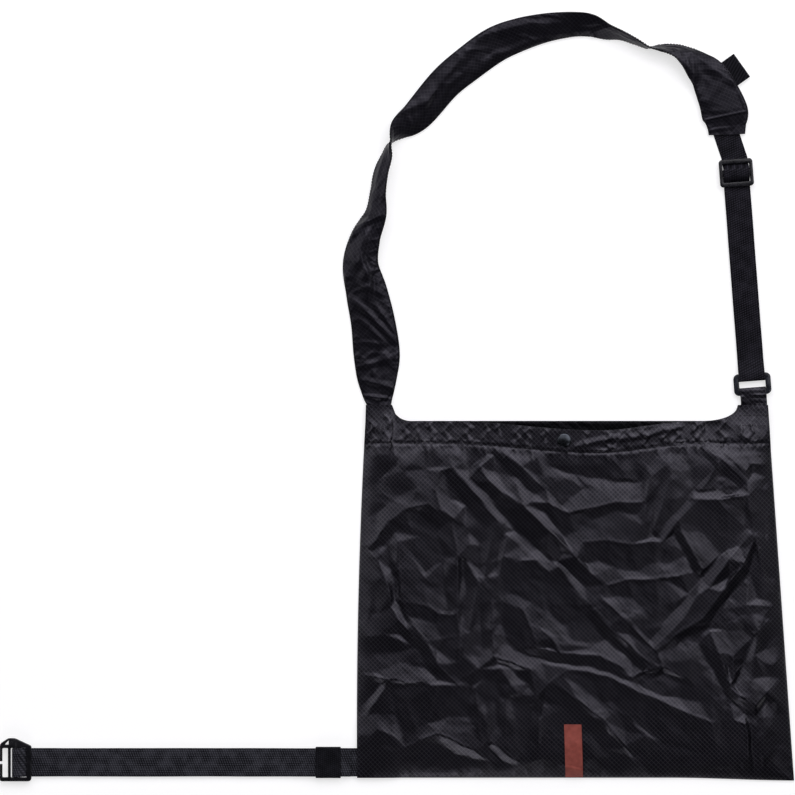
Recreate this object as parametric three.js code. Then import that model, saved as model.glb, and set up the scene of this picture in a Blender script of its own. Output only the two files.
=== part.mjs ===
// A cycling musette bag laid flat on its back, in millimetres, +Z up.
// A thin hollow bag of ripstop cloth, its shoulder strap, and a waist strap with a hook buckle.
// The origin is the centre of the bag's back, on the surface that it lies on.
import * as THREE from "three";

// Materials' thicknesses, and the clearance between pieces that lie against each other
const CLOTH = 1.0;
const STRAP_CLOTH = 1.6;
const WEBBING = 1.2;
const ELASTIC = 1.0;
const GAP = 0.3;

// The bag, seen from above
const BAG_HEIGHT = 321;
const MOUTH_WIDTH = 363;
const FOOT_WIDTH = 393;
const LEAN = 7.5;
const LEFT_SIDE_BELLY = 2.6;
const RIGHT_CORNER_DROP = 2.5;
const HORN_HEIGHT = 14.4;
const LEFT_HORN_WIDTH = 24;
const RIGHT_HORN_WIDTH = 27;
const LEFT_HORN_SWEEP = 17;
const RIGHT_HORN_SWEEP = 32;
const HEM_WIDTH = 20;
const MOUTH_SAG = 8.5;

// The air inside the bag
const PUFF = 11;
const EDGE_ROLL = 18;
const MOUTH_RISE = 12;
const MOUTH_BLEND = 45;
const FACING_INSET = 46;
const PANEL_CELL = 15;
const FOLD_RELIEF = 5.5;

// The seams that hold the straps in the bag's corners
const SEAM_DEPTH = 10;
const SEAM_FADE = 26;

// Snap and label
const SNAP_RADIUS = 5.8;
const SNAP_HEIGHT = 2.3;
const SNAP_DROP = 10;
const SNAP_PLACE = 0.491;
const SOCKET_DROP = 14.5;
const STUD_RADIUS = 4.6;
const STUD_HEIGHT = 1.2;
const STUD_NUB = 1.6;
const SOCKET_RADIUS = 5.0;
const SOCKET_HEIGHT = 2.0;
const LABEL_WIDTH = 15.7;
const LABEL_LENGTH = 50;
const LABEL_PLACE = 0.497;

// Shoulder strap of cloth
const STRAP_WIDTH = 42;

// Webbing and its hardware
const STRAP_WEBBING_WIDTH = 23.4;
const WAIST_WEBBING_WIDTH = 25.4;
const SLOT_PLAY = 0.3;
const HARDWARE = 2.4;
const RING_LENGTH = 19.4;
const RING_BAR = 5.5;
const RING_SIDE_BAR = 4.7;
const RING_INSET = 15;
const RING_CORNER = 4.5;
const RING_STAND_OFF = 9;
const WEBBING_TILT = 4.4;
const WEBBING_RUN = 190.5;
const SLIDER_LENGTH = 24.8;
const SLIDER_END_BAR = 4.2;
const SLIDER_SIDE_BAR = 3.2;
const CENTRE_BAR = 4.0;
const TAIL_RUN = 35;
const TAIL_SHIFT = 5.6;
const TAIL_LAP = 13;

// Webbing tab on the strap's outer edge
const TAB_REACH = 13.5;
const TAB_LAP = 6;

// Waist strap
const WAIST_RUN = 306.5;
const WAIST_MARGIN = 1.2;
const WAIST_TAIL_START = 5.5;
const KEEPER_START = 14.6;
const KEEPER_LENGTH = 22.5;
const KEEPER_RAMP = 26;
const HOOK_THREAD_SLOT = 2.6;
const HOOK_BAR = 2.6;
const HOOK_SLOT = 4.9;
const HOOK_GATE = 2.2;
const HOOK_RISER_SLOT = 7.6;
const HOOK_END_BAR = 4.4;
const HOOK_EAR = 6.8;
const HOOK_RIM = 3.9;
const HOOK_STEP = 1.6;
const HOOK_CORNER = 3.5;
const HOOK_TIP_CORNER = 2.5;
const HOOK_SLOT_CORNER = 1.2;
const EAR_RISE = 3.2;
const EAR_SLOPE = 1.0;
const EAR_CORNER = 2.5;
const EAR_END = 4.0;
const EAR_BACK = 8.5;

const DEGREE = Math.PI / 180;
const mix = (a, b, t) => a + (b - a) * t;
const clamp = (t) => Math.min(1, Math.max(0, t));
const ease = (t) => clamp(t) ** 2 * (3 - 2 * clamp(t));

// The outline of the bag. High is 0 at the foot and 1 at the mouth, across is 0 at the left side and 1 at the
// right.
const FOOT_Y = -BAG_HEIGHT / 2;
const MOUTH_Y = BAG_HEIGHT / 2;

function leftSide(high) {
  const straight = mix(LEAN / 2 - FOOT_WIDTH / 2, -LEAN / 2 - MOUTH_WIDTH / 2, high);
  return straight - LEFT_SIDE_BELLY * 4 * clamp(high) * (1 - clamp(high));
}

function rightSide(high) {
  return mix(LEAN / 2 + FOOT_WIDTH / 2, -LEAN / 2 + MOUTH_WIDTH / 2, high);
}

function footEdge(across) {
  return FOOT_Y - RIGHT_CORNER_DROP * ease((across - 0.72) / 0.28);
}

// A horn is the bag's top corner that holds a strap: a flat top, then an elliptical sweep down to the mouth.
function hornRise(distance, width, sweep) {
  if (distance <= width) return HORN_HEIGHT;
  const t = clamp((width + sweep - distance) / sweep);
  return HORN_HEIGHT * (1 - Math.sqrt(1 - t * t));
}

function mouthEdge(across) {
  const left = hornRise(across * MOUTH_WIDTH, LEFT_HORN_WIDTH, LEFT_HORN_SWEEP);
  const right = hornRise((1 - across) * MOUTH_WIDTH, RIGHT_HORN_WIDTH, RIGHT_HORN_SWEEP);
  return MOUTH_Y + Math.max(left, right);
}

// The front's mouth hangs a little lower than the back's, most at a share of the width.
const SAG_LOW = 0.2;
const SAG_DEEPEST = 0.575;
const SAG_HIGH = 0.82;
function mouthSag(across) {
  const rise = (across - SAG_LOW) / (SAG_DEEPEST - SAG_LOW);
  const fall = (SAG_HIGH - across) / (SAG_HIGH - SAG_DEEPEST);
  return MOUTH_SAG * ease(Math.min(rise, fall));
}

// The place on the bag of a share across and a share up, for an edge that ends at top.
function bagPlace(across, up, top) {
  const y = mix(footEdge(across), top, up);
  const high = (y - FOOT_Y) / BAG_HEIGHT;
  return { x: mix(leftSide(high), rightSide(high), across), y, high };
}

// Main folds of the front, as shares of the width and height: from one end to the other, the crest's
// height as a share of the relief, and how wide each flank is as a share of the width.
const FOLDS = [
  { x0: 0.30, y0: 0.84, x1: 0.56, y1: 0.55, crest: 1.00, left: 0.030, right: 0.075 },
  { x0: 0.54, y0: 0.47, x1: 0.70, y1: 0.31, crest: 0.88, left: 0.045, right: 0.030 },
  { x0: 0.69, y0: 0.35, x1: 0.93, y1: 0.68, crest: 1.00, left: 0.030, right: 0.050 },
  { x0: 0.46, y0: 0.78, x1: 0.76, y1: 0.80, crest: 0.94, left: 0.090, right: 0.080 },
  { x0: 0.32, y0: 0.34, x1: 0.66, y1: 0.25, crest: 0.76, left: 0.035, right: 0.080 },
  { x0: 0.47, y0: 0.24, x1: 0.72, y1: 0.04, crest: 0.88, left: 0.060, right: 0.030 },
  { x0: 0.66, y0: 0.25, x1: 0.90, y1: 0.13, crest: 0.76, left: 0.050, right: 0.070 },
  { x0: 0.03, y0: 0.65, x1: 0.12, y1: 0.43, crest: 0.82, left: 0.030, right: 0.050 },
  { x0: 0.12, y0: 0.43, x1: 0.24, y1: 0.31, crest: 0.65, left: 0.040, right: 0.040 },
  { x0: 0.24, y0: 0.72, x1: 0.28, y1: 0.34, crest: -0.65, left: 0.035, right: 0.045 },
  { x0: 0.08, y0: 0.06, x1: 0.25, y1: 0.11, crest: 0.76, left: 0.045, right: 0.030 },
  { x0: 0.25, y0: 0.11, x1: 0.50, y1: 0.04, crest: 0.71, left: 0.045, right: 0.030 },
  { x0: 0.93, y0: 0.78, x1: 0.96, y1: 0.40, crest: 0.71, left: 0.045, right: 0.030 },
  { x0: 0.87, y0: 0.26, x1: 0.80, y1: 0.40, crest: 0.76, left: 0.030, right: 0.030 },
  { x0: 0.87, y0: 0.26, x1: 0.93, y1: 0.40, crest: 0.71, left: 0.030, right: 0.030 },
  { x0: 0.03, y0: 0.82, x1: 0.22, y1: 0.90, crest: 0.76, left: 0.040, right: 0.050 },
  { x0: 0.71, y0: 0.68, x1: 0.75, y1: 0.88, crest: -0.65, left: 0.030, right: 0.030 },
  { x0: 0.80, y0: 0.90, x1: 0.95, y1: 0.80, crest: 0.76, left: 0.040, right: 0.040 },
];

function foldHeight(fold, place) {
  const [ax, ay] = [(fold.x0 - 0.5) * FOOT_WIDTH, (fold.y0 - 0.5) * BAG_HEIGHT];
  const [bx, by] = [(fold.x1 - 0.5) * FOOT_WIDTH, (fold.y1 - 0.5) * BAG_HEIGHT];
  const length = Math.hypot(bx - ax, by - ay);
  const [tx, ty] = [(bx - ax) / length, (by - ay) / length];
  const along = (place.x - ax) * tx + (place.y - ay) * ty;
  const beside = (place.y - ay) * tx - (place.x - ax) * ty;
  const flank = (beside > 0 ? fold.left : fold.right) * FOOT_WIDTH;
  const past = Math.max(0, -along, along - length);
  const reach = Math.hypot(beside, past) / flank;
  return fold.crest * FOLD_RELIEF * Math.max(0, 1 - reach);
}

// How much a seam in a corner holds the front up, over what is sewn in it: full within the seam, then fading.
function seamLift(height, outside) {
  return height * (1 - ease((outside - PANEL_CELL / 2) / SEAM_FADE));
}

const LEFT_SEAM = STRAP_CLOTH + GAP;
const RIGHT_SEAM = 2 * CLOTH + 2 * GAP;
const WAIST_SEAM = WEBBING + GAP;
const WAIST_TOP = WAIST_MARGIN + WAIST_WEBBING_WIDTH;

function seamLifts(place, fromLeft, fromRight) {
  const belowHorn = MOUTH_Y + HORN_HEIGHT - SEAM_DEPTH - place.y;
  const left = Math.hypot(Math.max(0, belowHorn), Math.max(0, fromLeft - LEFT_HORN_WIDTH));
  const right = Math.hypot(Math.max(0, belowHorn), Math.max(0, fromRight - RIGHT_HORN_WIDTH));
  const aboveWaist = place.y - FOOT_Y - WAIST_TOP;
  const waist = Math.hypot(Math.max(0, aboveWaist), Math.max(0, fromLeft - SEAM_DEPTH));
  const lifts = [seamLift(LEFT_SEAM, left), seamLift(RIGHT_SEAM, right), seamLift(WAIST_SEAM, waist)];
  return Math.max(...lifts);
}

// The height of the front's inner face above the surface, at a share across and a share up.
const PANEL_SEAT = CLOTH + GAP;
const SNAP_SEAT_RADIUS = SNAP_RADIUS + PANEL_CELL * 0.72;

function frontTop(across) {
  return mouthEdge(across) - mouthSag(across);
}

function mouthArch(across) {
  const fromLeft = across * MOUTH_WIDTH - LEFT_HORN_WIDTH;
  const span = MOUTH_WIDTH - LEFT_HORN_WIDTH - RIGHT_HORN_WIDTH;
  return MOUTH_RISE * Math.sin(Math.PI * clamp(fromLeft / span)) ** 0.7;
}

function innerHeight(across, up) {
  const place = bagPlace(across, up, frontTop(across));
  const fromLeft = place.x - leftSide(place.high);
  const fromRight = rightSide(place.high) - place.x;
  const fromFoot = place.y - footEdge(across);
  const roll = (distance) => 1 - Math.exp(-Math.max(0, distance) / EDGE_ROLL);
  const pillow = roll(fromLeft) * roll(fromRight) * roll(fromFoot);
  const fromMouth = frontTop(across) - place.y;
  const inside = ease(fromMouth / MOUTH_BLEND);
  const folds = FOLDS.reduce((sum, fold) => sum + foldHeight(fold, place), 0);
  const loose = mix(mouthArch(across), PUFF * pillow, inside) + folds * pillow * inside;
  return PANEL_SEAT + Math.max(loose, 0) + seamLifts(place, fromLeft, fromRight);
}

function snapPlace() {
  const top = frontTop(SNAP_PLACE);
  const up = (top - SNAP_DROP - footEdge(SNAP_PLACE)) / (top - footEdge(SNAP_PLACE));
  return { ...bagPlace(SNAP_PLACE, up, top), z: innerHeight(SNAP_PLACE, up) };
}

// The front is level under the snap, so that the cap sits flat on it.
function seatedHeight(across, up) {
  const place = bagPlace(across, up, frontTop(across));
  const snap = snapPlace();
  const away = Math.hypot(place.x - snap.x, place.y - snap.y);
  return mix(snap.z, innerHeight(across, up), ease((away - SNAP_SEAT_RADIUS) / PANEL_CELL));
}

// Values from 0 to 1 that hold every stop, with the gaps between them filled in steps no wider than step.
function fill(stops, step) {
  const sorted = [...stops].sort((a, b) => a - b);
  const filled = [sorted[0]];
  for (const stop of sorted.slice(1)) {
    const from = filled[filled.length - 1];
    const count = Math.max(1, Math.ceil((stop - from) / step - 1e-6));
    for (let i = 1; i <= count; i++) filled.push(mix(from, stop, i / count));
  }
  return filled;
}

const LABEL_LEFT = LABEL_PLACE - LABEL_WIDTH / FOOT_WIDTH / 2;
const LABEL_RIGHT = LABEL_PLACE + LABEL_WIDTH / FOOT_WIDTH / 2;
const LABEL_TOP = LABEL_LENGTH / BAG_HEIGHT;
const HEM_LINE = 1 - HEM_WIDTH / BAG_HEIGHT;
const FACING_LEFT = FACING_INSET / MOUTH_WIDTH;
const FACING_RIGHT = 1 - FACING_INSET / MOUTH_WIDTH;

const sweepStops = (from, sweep) => [0, 0.1, 0.32, 0.62, 1].map((t) => (from + sweep * t) / MOUTH_WIDTH);
const edgeStops = [0, 0.3, 0.8].map((t) => (t * EDGE_ROLL) / FOOT_WIDTH);
const COLUMNS = fill(
  [
    ...edgeStops,
    ...edgeStops.map((t) => 1 - t),
    ...sweepStops(LEFT_HORN_WIDTH, LEFT_HORN_SWEEP),
    ...sweepStops(RIGHT_HORN_WIDTH, RIGHT_HORN_SWEEP).map((t) => 1 - t),
    FACING_LEFT,
    FACING_RIGHT,
    LABEL_LEFT,
    LABEL_RIGHT,
  ],
  PANEL_CELL / FOOT_WIDTH,
);
const ROWS = fill(
  [0, ...edgeStops.slice(1).map((t) => (t * FOOT_WIDTH) / BAG_HEIGHT), LABEL_TOP, HEM_LINE, 1],
  PANEL_CELL / BAG_HEIGHT,
);

// A closed solid between two grids of points of the same size.
function solidBetween(upper, lower) {
  const [rows, columns] = [upper.length, upper[0].length];
  const positions = [...upper.flat(), ...lower.flat()].flatMap((p) => [p.x, p.y, p.z]);
  const up = (i, j) => i * columns + j;
  const down = (i, j) => rows * columns + up(i, j);
  const faces = [];
  const quad = (a, b, c, d) => faces.push(a, b, c, a, c, d);
  for (let i = 0; i < rows - 1; i++) {
    for (let j = 0; j < columns - 1; j++) {
      quad(up(i, j), up(i, j + 1), up(i + 1, j + 1), up(i + 1, j));
      quad(down(i, j), down(i + 1, j), down(i + 1, j + 1), down(i, j + 1));
    }
  }
  for (let i = 0; i < rows - 1; i++) {
    quad(up(i, 0), up(i + 1, 0), down(i + 1, 0), down(i, 0));
    quad(up(i + 1, columns - 1), up(i, columns - 1), down(i, columns - 1), down(i + 1, columns - 1));
  }
  for (let j = 0; j < columns - 1; j++) {
    quad(up(0, j + 1), up(0, j), down(0, j), down(0, j + 1));
    quad(up(rows - 1, j), up(rows - 1, j + 1), down(rows - 1, j + 1), down(rows - 1, j));
  }
  const geometry = new THREE.BufferGeometry();
  geometry.setAttribute("position", new THREE.Float32BufferAttribute(positions, 3));
  geometry.setIndex(faces);
  return facingOut(geometry);
}

// Turns a closed geometry's faces round if they point inwards.
function facingOut(geometry) {
  const at = geometry.getAttribute("position");
  const index = geometry.getIndex().array;
  const [a, b, c] = [new THREE.Vector3(), new THREE.Vector3(), new THREE.Vector3()];
  let volume = 0;
  for (let k = 0; k < index.length; k += 3) {
    a.fromBufferAttribute(at, index[k]);
    b.fromBufferAttribute(at, index[k + 1]);
    c.fromBufferAttribute(at, index[k + 2]);
    volume += a.dot(b.cross(c));
  }
  if (volume < 0) {
    for (let k = 0; k < index.length; k += 3) [index[k + 1], index[k + 2]] = [index[k + 2], index[k + 1]];
  }
  return geometry;
}

const MATERIALS = {
  ripstop: new THREE.MeshStandardMaterial({ color: 0x1c1b20, roughness: 0.5, metalness: 0 }),
  webbing: new THREE.MeshStandardMaterial({ color: 0x19191d, roughness: 0.8, metalness: 0 }),
  nylon: new THREE.MeshStandardMaterial({ color: 0x202127, roughness: 0.4, metalness: 0 }),
  snap: new THREE.MeshStandardMaterial({ color: 0x2b2c31, roughness: 0.35, metalness: 0.6 }),
  label: new THREE.MeshStandardMaterial({ color: 0x80403a, roughness: 0.7, metalness: 0 }),
};

const musette = new THREE.Group();

function add(name, geometry, material, parent = musette) {
  const piece = new THREE.Mesh(geometry, material);
  piece.name = name;
  parent.add(piece);
  return piece;
}

// A part of the front's grid as a sheet: how far its lower face lies above the front's inner face.
function frontSheet(columns, rows, offset) {
  const grid = (z) =>
    rows.map((up) =>
      columns.map((across) => {
        const place = bagPlace(across, up, frontTop(across));
        return new THREE.Vector3(place.x, place.y, seatedHeight(across, up) + z);
      }),
    );
  return solidBetween(grid(offset + CLOTH), grid(offset));
}

const within = (values, low, high) => values.filter((t) => t > low - 1e-6 && t < high + 1e-6);

function addPanels() {
  const shape = new THREE.Shape();
  const across = COLUMNS.map((t) => bagPlace(t, 0, mouthEdge(t)));
  shape.setFromPoints(across.map((p) => new THREE.Vector2(p.x, p.y)));
  for (const up of ROWS.slice(1)) {
    const p = bagPlace(1, up, mouthEdge(1));
    shape.lineTo(p.x, p.y);
  }
  for (const t of [...COLUMNS].reverse().slice(1)) {
    const p = bagPlace(t, 1, mouthEdge(t));
    shape.lineTo(p.x, p.y);
  }
  for (const up of [...ROWS].reverse().slice(1, -1)) {
    const p = bagPlace(0, up, mouthEdge(0));
    shape.lineTo(p.x, p.y);
  }
  const back = new THREE.ExtrudeGeometry(shape, { depth: CLOTH, bevelEnabled: false });
  add("back_panel", back, MATERIALS.ripstop);
  add("front_panel", frontSheet(COLUMNS, ROWS, 0), MATERIALS.ripstop);
}

function addFacings() {
  const columns = within(COLUMNS, FACING_LEFT, FACING_RIGHT);
  const rows = within(ROWS, HEM_LINE, 1);
  add("front_facing", frontSheet(columns, rows, -CLOTH - GAP), MATERIALS.ripstop);
  const grid = (z) =>
    rows.map((up) =>
      columns.map((across) => {
        const place = bagPlace(across, up, mouthEdge(across));
        return new THREE.Vector3(place.x, place.y, z);
      }),
    );
  const seat = CLOTH + GAP;
  add("back_facing", solidBetween(grid(seat + CLOTH), grid(seat)), MATERIALS.ripstop);
}

// Turned pieces: the profile runs from the axis and back to it, as [radius, height] pairs.
function turned(profile) {
  const segments = 20;
  const points = profile.map(([r, z]) => new THREE.Vector2(r, z));
  return new THREE.LatheGeometry(points, segments).rotateX(Math.PI / 2);
}

function addSnap() {
  const place = snapPlace();
  const cap = [
    [0, 0],
    [SNAP_RADIUS, 0],
    [SNAP_RADIUS, SNAP_HEIGHT * 0.35],
    [SNAP_RADIUS * 0.86, SNAP_HEIGHT * 0.75],
    [SNAP_RADIUS * 0.5, SNAP_HEIGHT * 0.96],
    [0, SNAP_HEIGHT],
  ];
  add("snap_cap", turned(cap), MATERIALS.snap).position.set(place.x, place.y, place.z + CLOTH + GAP);
  const nubRadius = STUD_RADIUS * 0.42;
  const stud = [
    [0, -STUD_HEIGHT - STUD_NUB],
    [nubRadius, -STUD_HEIGHT - STUD_NUB],
    [nubRadius, -STUD_HEIGHT],
    [STUD_RADIUS, -STUD_HEIGHT],
    [STUD_RADIUS, 0],
    [0, 0],
  ];
  const underFacing = place.z - 2 * GAP - CLOTH;
  add("snap_stud", turned(stud), MATERIALS.snap).position.set(place.x, place.y, underFacing);
  const wellRadius = nubRadius + GAP;
  const socket = [
    [0, 0],
    [SOCKET_RADIUS, 0],
    [SOCKET_RADIUS, SOCKET_HEIGHT],
    [wellRadius, SOCKET_HEIGHT],
    [wellRadius, SOCKET_HEIGHT - STUD_NUB],
    [0, SOCKET_HEIGHT - STUD_NUB],
  ];
  const onFacing = 2 * CLOTH + 2 * GAP;
  const socketY = MOUTH_Y - SOCKET_DROP;
  add("snap_socket", turned(socket), MATERIALS.snap).position.set(place.x, socketY, onFacing);
}

function addLabel() {
  const columns = within(COLUMNS, LABEL_LEFT, LABEL_RIGHT);
  const rows = within(ROWS, 0, LABEL_TOP);
  add("label", frontSheet(columns, rows, CLOTH + GAP), MATERIALS.label);
}

// The path of a band pulled round pegs, in a plane: each peg is a point with a radius, and a turn of 1 where
// the band goes round it anticlockwise and -1 where it goes clockwise. A peg with no radius is a plain point.
function tautPath(pegs) {
  const signed = (peg) => (peg.r ?? 0) * (peg.turn ?? 1);
  const headings = pegs.slice(1).map((peg, i) => {
    const from = pegs[i];
    const [dx, dy] = [peg.x - from.x, peg.y - from.y];
    return Math.atan2(dy, dx) - Math.asin((signed(peg) - signed(from)) / Math.hypot(dx, dy));
  });
  const touch = (peg, heading) => {
    const x = peg.x + Math.sin(heading) * signed(peg);
    return new THREE.Vector2(x, peg.y - Math.cos(heading) * signed(peg));
  };
  const points = [];
  pegs.forEach((peg, i) => {
    const before = headings[i - 1] ?? headings[i];
    const after = headings[i] ?? before;
    if (!peg.r) {
      points.push(new THREE.Vector2(peg.x, peg.y));
      return;
    }
    const full = 2 * Math.PI;
    let turn = (((after - before) % full) + full) % full;
    if (peg.turn < 0) turn -= full;
    if (Math.abs(turn) > 1.6 * Math.PI) turn = 0;
    const steps = Math.max(1, Math.ceil(Math.abs(turn) / (30 * DEGREE)));
    for (let k = 0; k <= steps; k++) points.push(touch(peg, before + (turn * k) / steps));
  });
  return points.filter((p, i) => i === 0 || p.distanceTo(points[i - 1]) > 0.02);
}

// A band of even thickness along a path, as an outline that is extruded across its width.
// The path's plane becomes the vertical plane along X, and the band's middle is at y = 0.
function band(path, thickness, width) {
  const side = (sign) =>
    path.map((p, i) => {
      const before = (i ? p.clone().sub(path[i - 1]) : path[1].clone().sub(p)).normalize();
      const after = (i < path.length - 1 ? path[i + 1].clone().sub(p) : before.clone()).normalize();
      const along = before.clone().add(after).normalize();
      const miter = 1 / Math.max(0.5, along.dot(before));
      const offset = (sign * thickness * miter) / 2;
      return new THREE.Vector2(p.x - along.y * offset, p.y + along.x * offset);
    });
  const shape = new THREE.Shape([...side(1), ...side(-1).reverse()]);
  const geometry = new THREE.ExtrudeGeometry(shape, { depth: width, bevelEnabled: false });
  return geometry.translate(0, 0, -width / 2).rotateX(Math.PI / 2);
}

// A rectangle with round corners, as a shape or as the hole in one.
function roundedRectangle(left, low, right, high, radius, Kind = THREE.Shape) {
  const shape = new Kind();
  shape.moveTo(left + radius, low);
  shape.lineTo(right - radius, low);
  shape.absarc(right - radius, low + radius, radius, -Math.PI / 2, 0, false);
  shape.lineTo(right, high - radius);
  shape.absarc(right - radius, high - radius, radius, 0, Math.PI / 2, false);
  shape.lineTo(left + radius, high);
  shape.absarc(left + radius, high - radius, radius, Math.PI / 2, Math.PI, false);
  shape.lineTo(left, low + radius);
  shape.absarc(left + radius, low + radius, radius, Math.PI, 1.5 * Math.PI, false);
  return shape;
}

// Moulded hardware: a flat outline with its slots, and a small bevel round every edge.
function moulded(shape) {
  const bevel = 0.35;
  const settings = {
    depth: HARDWARE - 2 * bevel,
    bevelEnabled: true,
    bevelThickness: bevel,
    bevelSize: bevel,
    bevelOffset: -bevel,
    bevelSegments: 1,
    curveSegments: 4,
  };
  return new THREE.ExtrudeGeometry(shape, settings).translate(0, 0, bevel);
}

// Half the width of a slot that webbing passes through.
const STRAP_SLOT_HALF = STRAP_WEBBING_WIDTH / 2 + SLOT_PLAY;
const WAIST_SLOT_HALF = WAIST_WEBBING_WIDTH / 2 + SLOT_PLAY;
// From a bar that the webbing wraps to the webbing's middle, and from one ply's middle to the next.
const WRAP = GAP + WEBBING / 2;
const PLY = WEBBING + GAP;

// The right-hand strap in its own frame: X runs from the ring towards the slider, on the surface.
const RING_BOTTOM = PLY;
const RING_TOP = RING_BOTTOM + HARDWARE;
const SLIDER_BOTTOM = 2 * PLY;
const SLIDER_TOP = SLIDER_BOTTOM + HARDWARE;
const SLIDER_SLOT = (SLIDER_LENGTH - 2 * SLIDER_END_BAR - CENTRE_BAR) / 2;

function strapWebbingPath() {
  const floor = WEBBING / 2;
  const [near, far] = [RING_LENGTH / 2 - RING_BAR, RING_LENGTH / 2];
  const barHalf = CENTRE_BAR / 2;
  const slot = barHalf + SLIDER_SLOT;
  const tail = WEBBING_RUN + TAIL_RUN + TAIL_LAP;
  const rampStart = far + 5 * HARDWARE;
  return tautPath([
    { x: tail, y: floor },
    { x: WEBBING_RUN + SLIDER_LENGTH / 2 + WEBBING, y: floor },
    { x: WEBBING_RUN + slot, y: SLIDER_BOTTOM, r: WRAP, turn: -1 },
    { x: WEBBING_RUN + barHalf, y: SLIDER_TOP, r: WRAP + PLY, turn: 1 },
    { x: WEBBING_RUN - barHalf, y: SLIDER_TOP, r: WRAP + PLY, turn: 1 },
    { x: WEBBING_RUN - slot, y: SLIDER_BOTTOM, r: WRAP, turn: -1 },
    { x: WEBBING_RUN - SLIDER_LENGTH / 2 - WEBBING, y: floor + PLY },
    { x: rampStart, y: floor + PLY },
    { x: far, y: RING_TOP, r: WRAP, turn: 1 },
    { x: near, y: RING_TOP, r: WRAP, turn: 1 },
    { x: near, y: RING_BOTTOM, r: WRAP, turn: 1 },
    { x: far, y: RING_BOTTOM, r: WRAP, turn: 1 },
    { x: WEBBING_RUN - slot, y: floor },
    { x: WEBBING_RUN - barHalf, y: SLIDER_BOTTOM, r: WRAP, turn: 1 },
    { x: WEBBING_RUN + barHalf, y: SLIDER_BOTTOM, r: WRAP, turn: 1 },
    { x: WEBBING_RUN + barHalf, y: SLIDER_TOP, r: WRAP, turn: 1 },
    { x: WEBBING_RUN - barHalf, y: SLIDER_TOP + WRAP },
  ]);
}

// Past the slider the webbing leans over towards the strap's end.
function leanTail(geometry) {
  const at = geometry.getAttribute("position");
  for (let i = 0; i < at.count; i++) {
    const past = Math.max(0, at.getX(i) - WEBBING_RUN - SLIDER_LENGTH / 2);
    at.setY(i, at.getY(i) + (TAIL_SHIFT * past) / (TAIL_RUN - SLIDER_LENGTH / 2));
  }
  return geometry;
}

const RING_OUTER_HALF = STRAP_SLOT_HALF + RING_SIDE_BAR;
const SLIDER_OUTER_HALF = STRAP_SLOT_HALF + SLIDER_SIDE_BAR;

function ringShape() {
  const half = RING_LENGTH / 2;
  const shape = roundedRectangle(-half, -RING_OUTER_HALF, half, RING_OUTER_HALF, RING_CORNER);
  const inner = half - RING_BAR;
  shape.holes.push(roundedRectangle(-inner, -STRAP_SLOT_HALF, inner, STRAP_SLOT_HALF, 0.8, THREE.Path));
  return shape;
}

function sliderShape() {
  const half = SLIDER_LENGTH / 2;
  const shape = roundedRectangle(-half, -SLIDER_OUTER_HALF, half, SLIDER_OUTER_HALF, 3);
  const [inner, outer] = [CENTRE_BAR / 2, CENTRE_BAR / 2 + SLIDER_SLOT];
  shape.holes.push(roundedRectangle(-outer, -STRAP_SLOT_HALF, -inner, STRAP_SLOT_HALF, 0.8, THREE.Path));
  shape.holes.push(roundedRectangle(inner, -STRAP_SLOT_HALF, outer, STRAP_SLOT_HALF, 0.8, THREE.Path));
  return shape;
}

// The loop of cloth that holds the ring's lower bar, with both ends sewn in the horn.
function ringLoopPath() {
  const wrap = GAP + CLOTH / 2;
  const [near, far] = [-RING_LENGTH / 2, -RING_LENGTH / 2 + RING_BAR];
  const mouthOfHorn = near - RING_STAND_OFF;
  const low = CLOTH + GAP + CLOTH / 2;
  const high = low + CLOTH + GAP;
  return tautPath([
    { x: mouthOfHorn - SEAM_DEPTH, y: low },
    { x: mouthOfHorn + GAP, y: low },
    { x: near, y: RING_BOTTOM, r: wrap, turn: 1 },
    { x: far, y: RING_BOTTOM, r: wrap, turn: 1 },
    { x: far, y: RING_TOP, r: wrap, turn: 1 },
    { x: near, y: RING_TOP, r: wrap, turn: 1 },
    { x: mouthOfHorn + GAP, y: high },
    { x: mouthOfHorn - SEAM_DEPTH, y: high },
  ]);
}

const RING_CENTRE_X = rightSide(1) - RING_INSET;
const HORN_TOP = MOUTH_Y + HORN_HEIGHT;
const RING_CENTRE_Y = HORN_TOP + RING_STAND_OFF + RING_LENGTH / 2;

function addRightStrap() {
  const strap = new THREE.Group();
  strap.position.set(RING_CENTRE_X, RING_CENTRE_Y, 0);
  strap.rotation.z = (90 + WEBBING_TILT) * DEGREE;
  musette.add(strap);
  add("strap_ring", moulded(ringShape()), MATERIALS.nylon, strap).position.z = RING_BOTTOM;
  const slider = add("strap_slider", moulded(sliderShape()), MATERIALS.nylon, strap);
  slider.position.set(WEBBING_RUN, 0, SLIDER_BOTTOM);
  const webbing = leanTail(band(strapWebbingPath(), WEBBING, STRAP_WEBBING_WIDTH));
  add("strap_webbing", webbing, MATERIALS.webbing, strap);
  add("ring_loop", band(ringLoopPath(), CLOTH, STRAP_WEBBING_WIDTH), MATERIALS.ripstop, strap);
  strap.updateMatrixWorld(true);
  return strap.localToWorld(new THREE.Vector3(WEBBING_RUN + TAIL_RUN, TAIL_SHIFT, 0));
}

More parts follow.
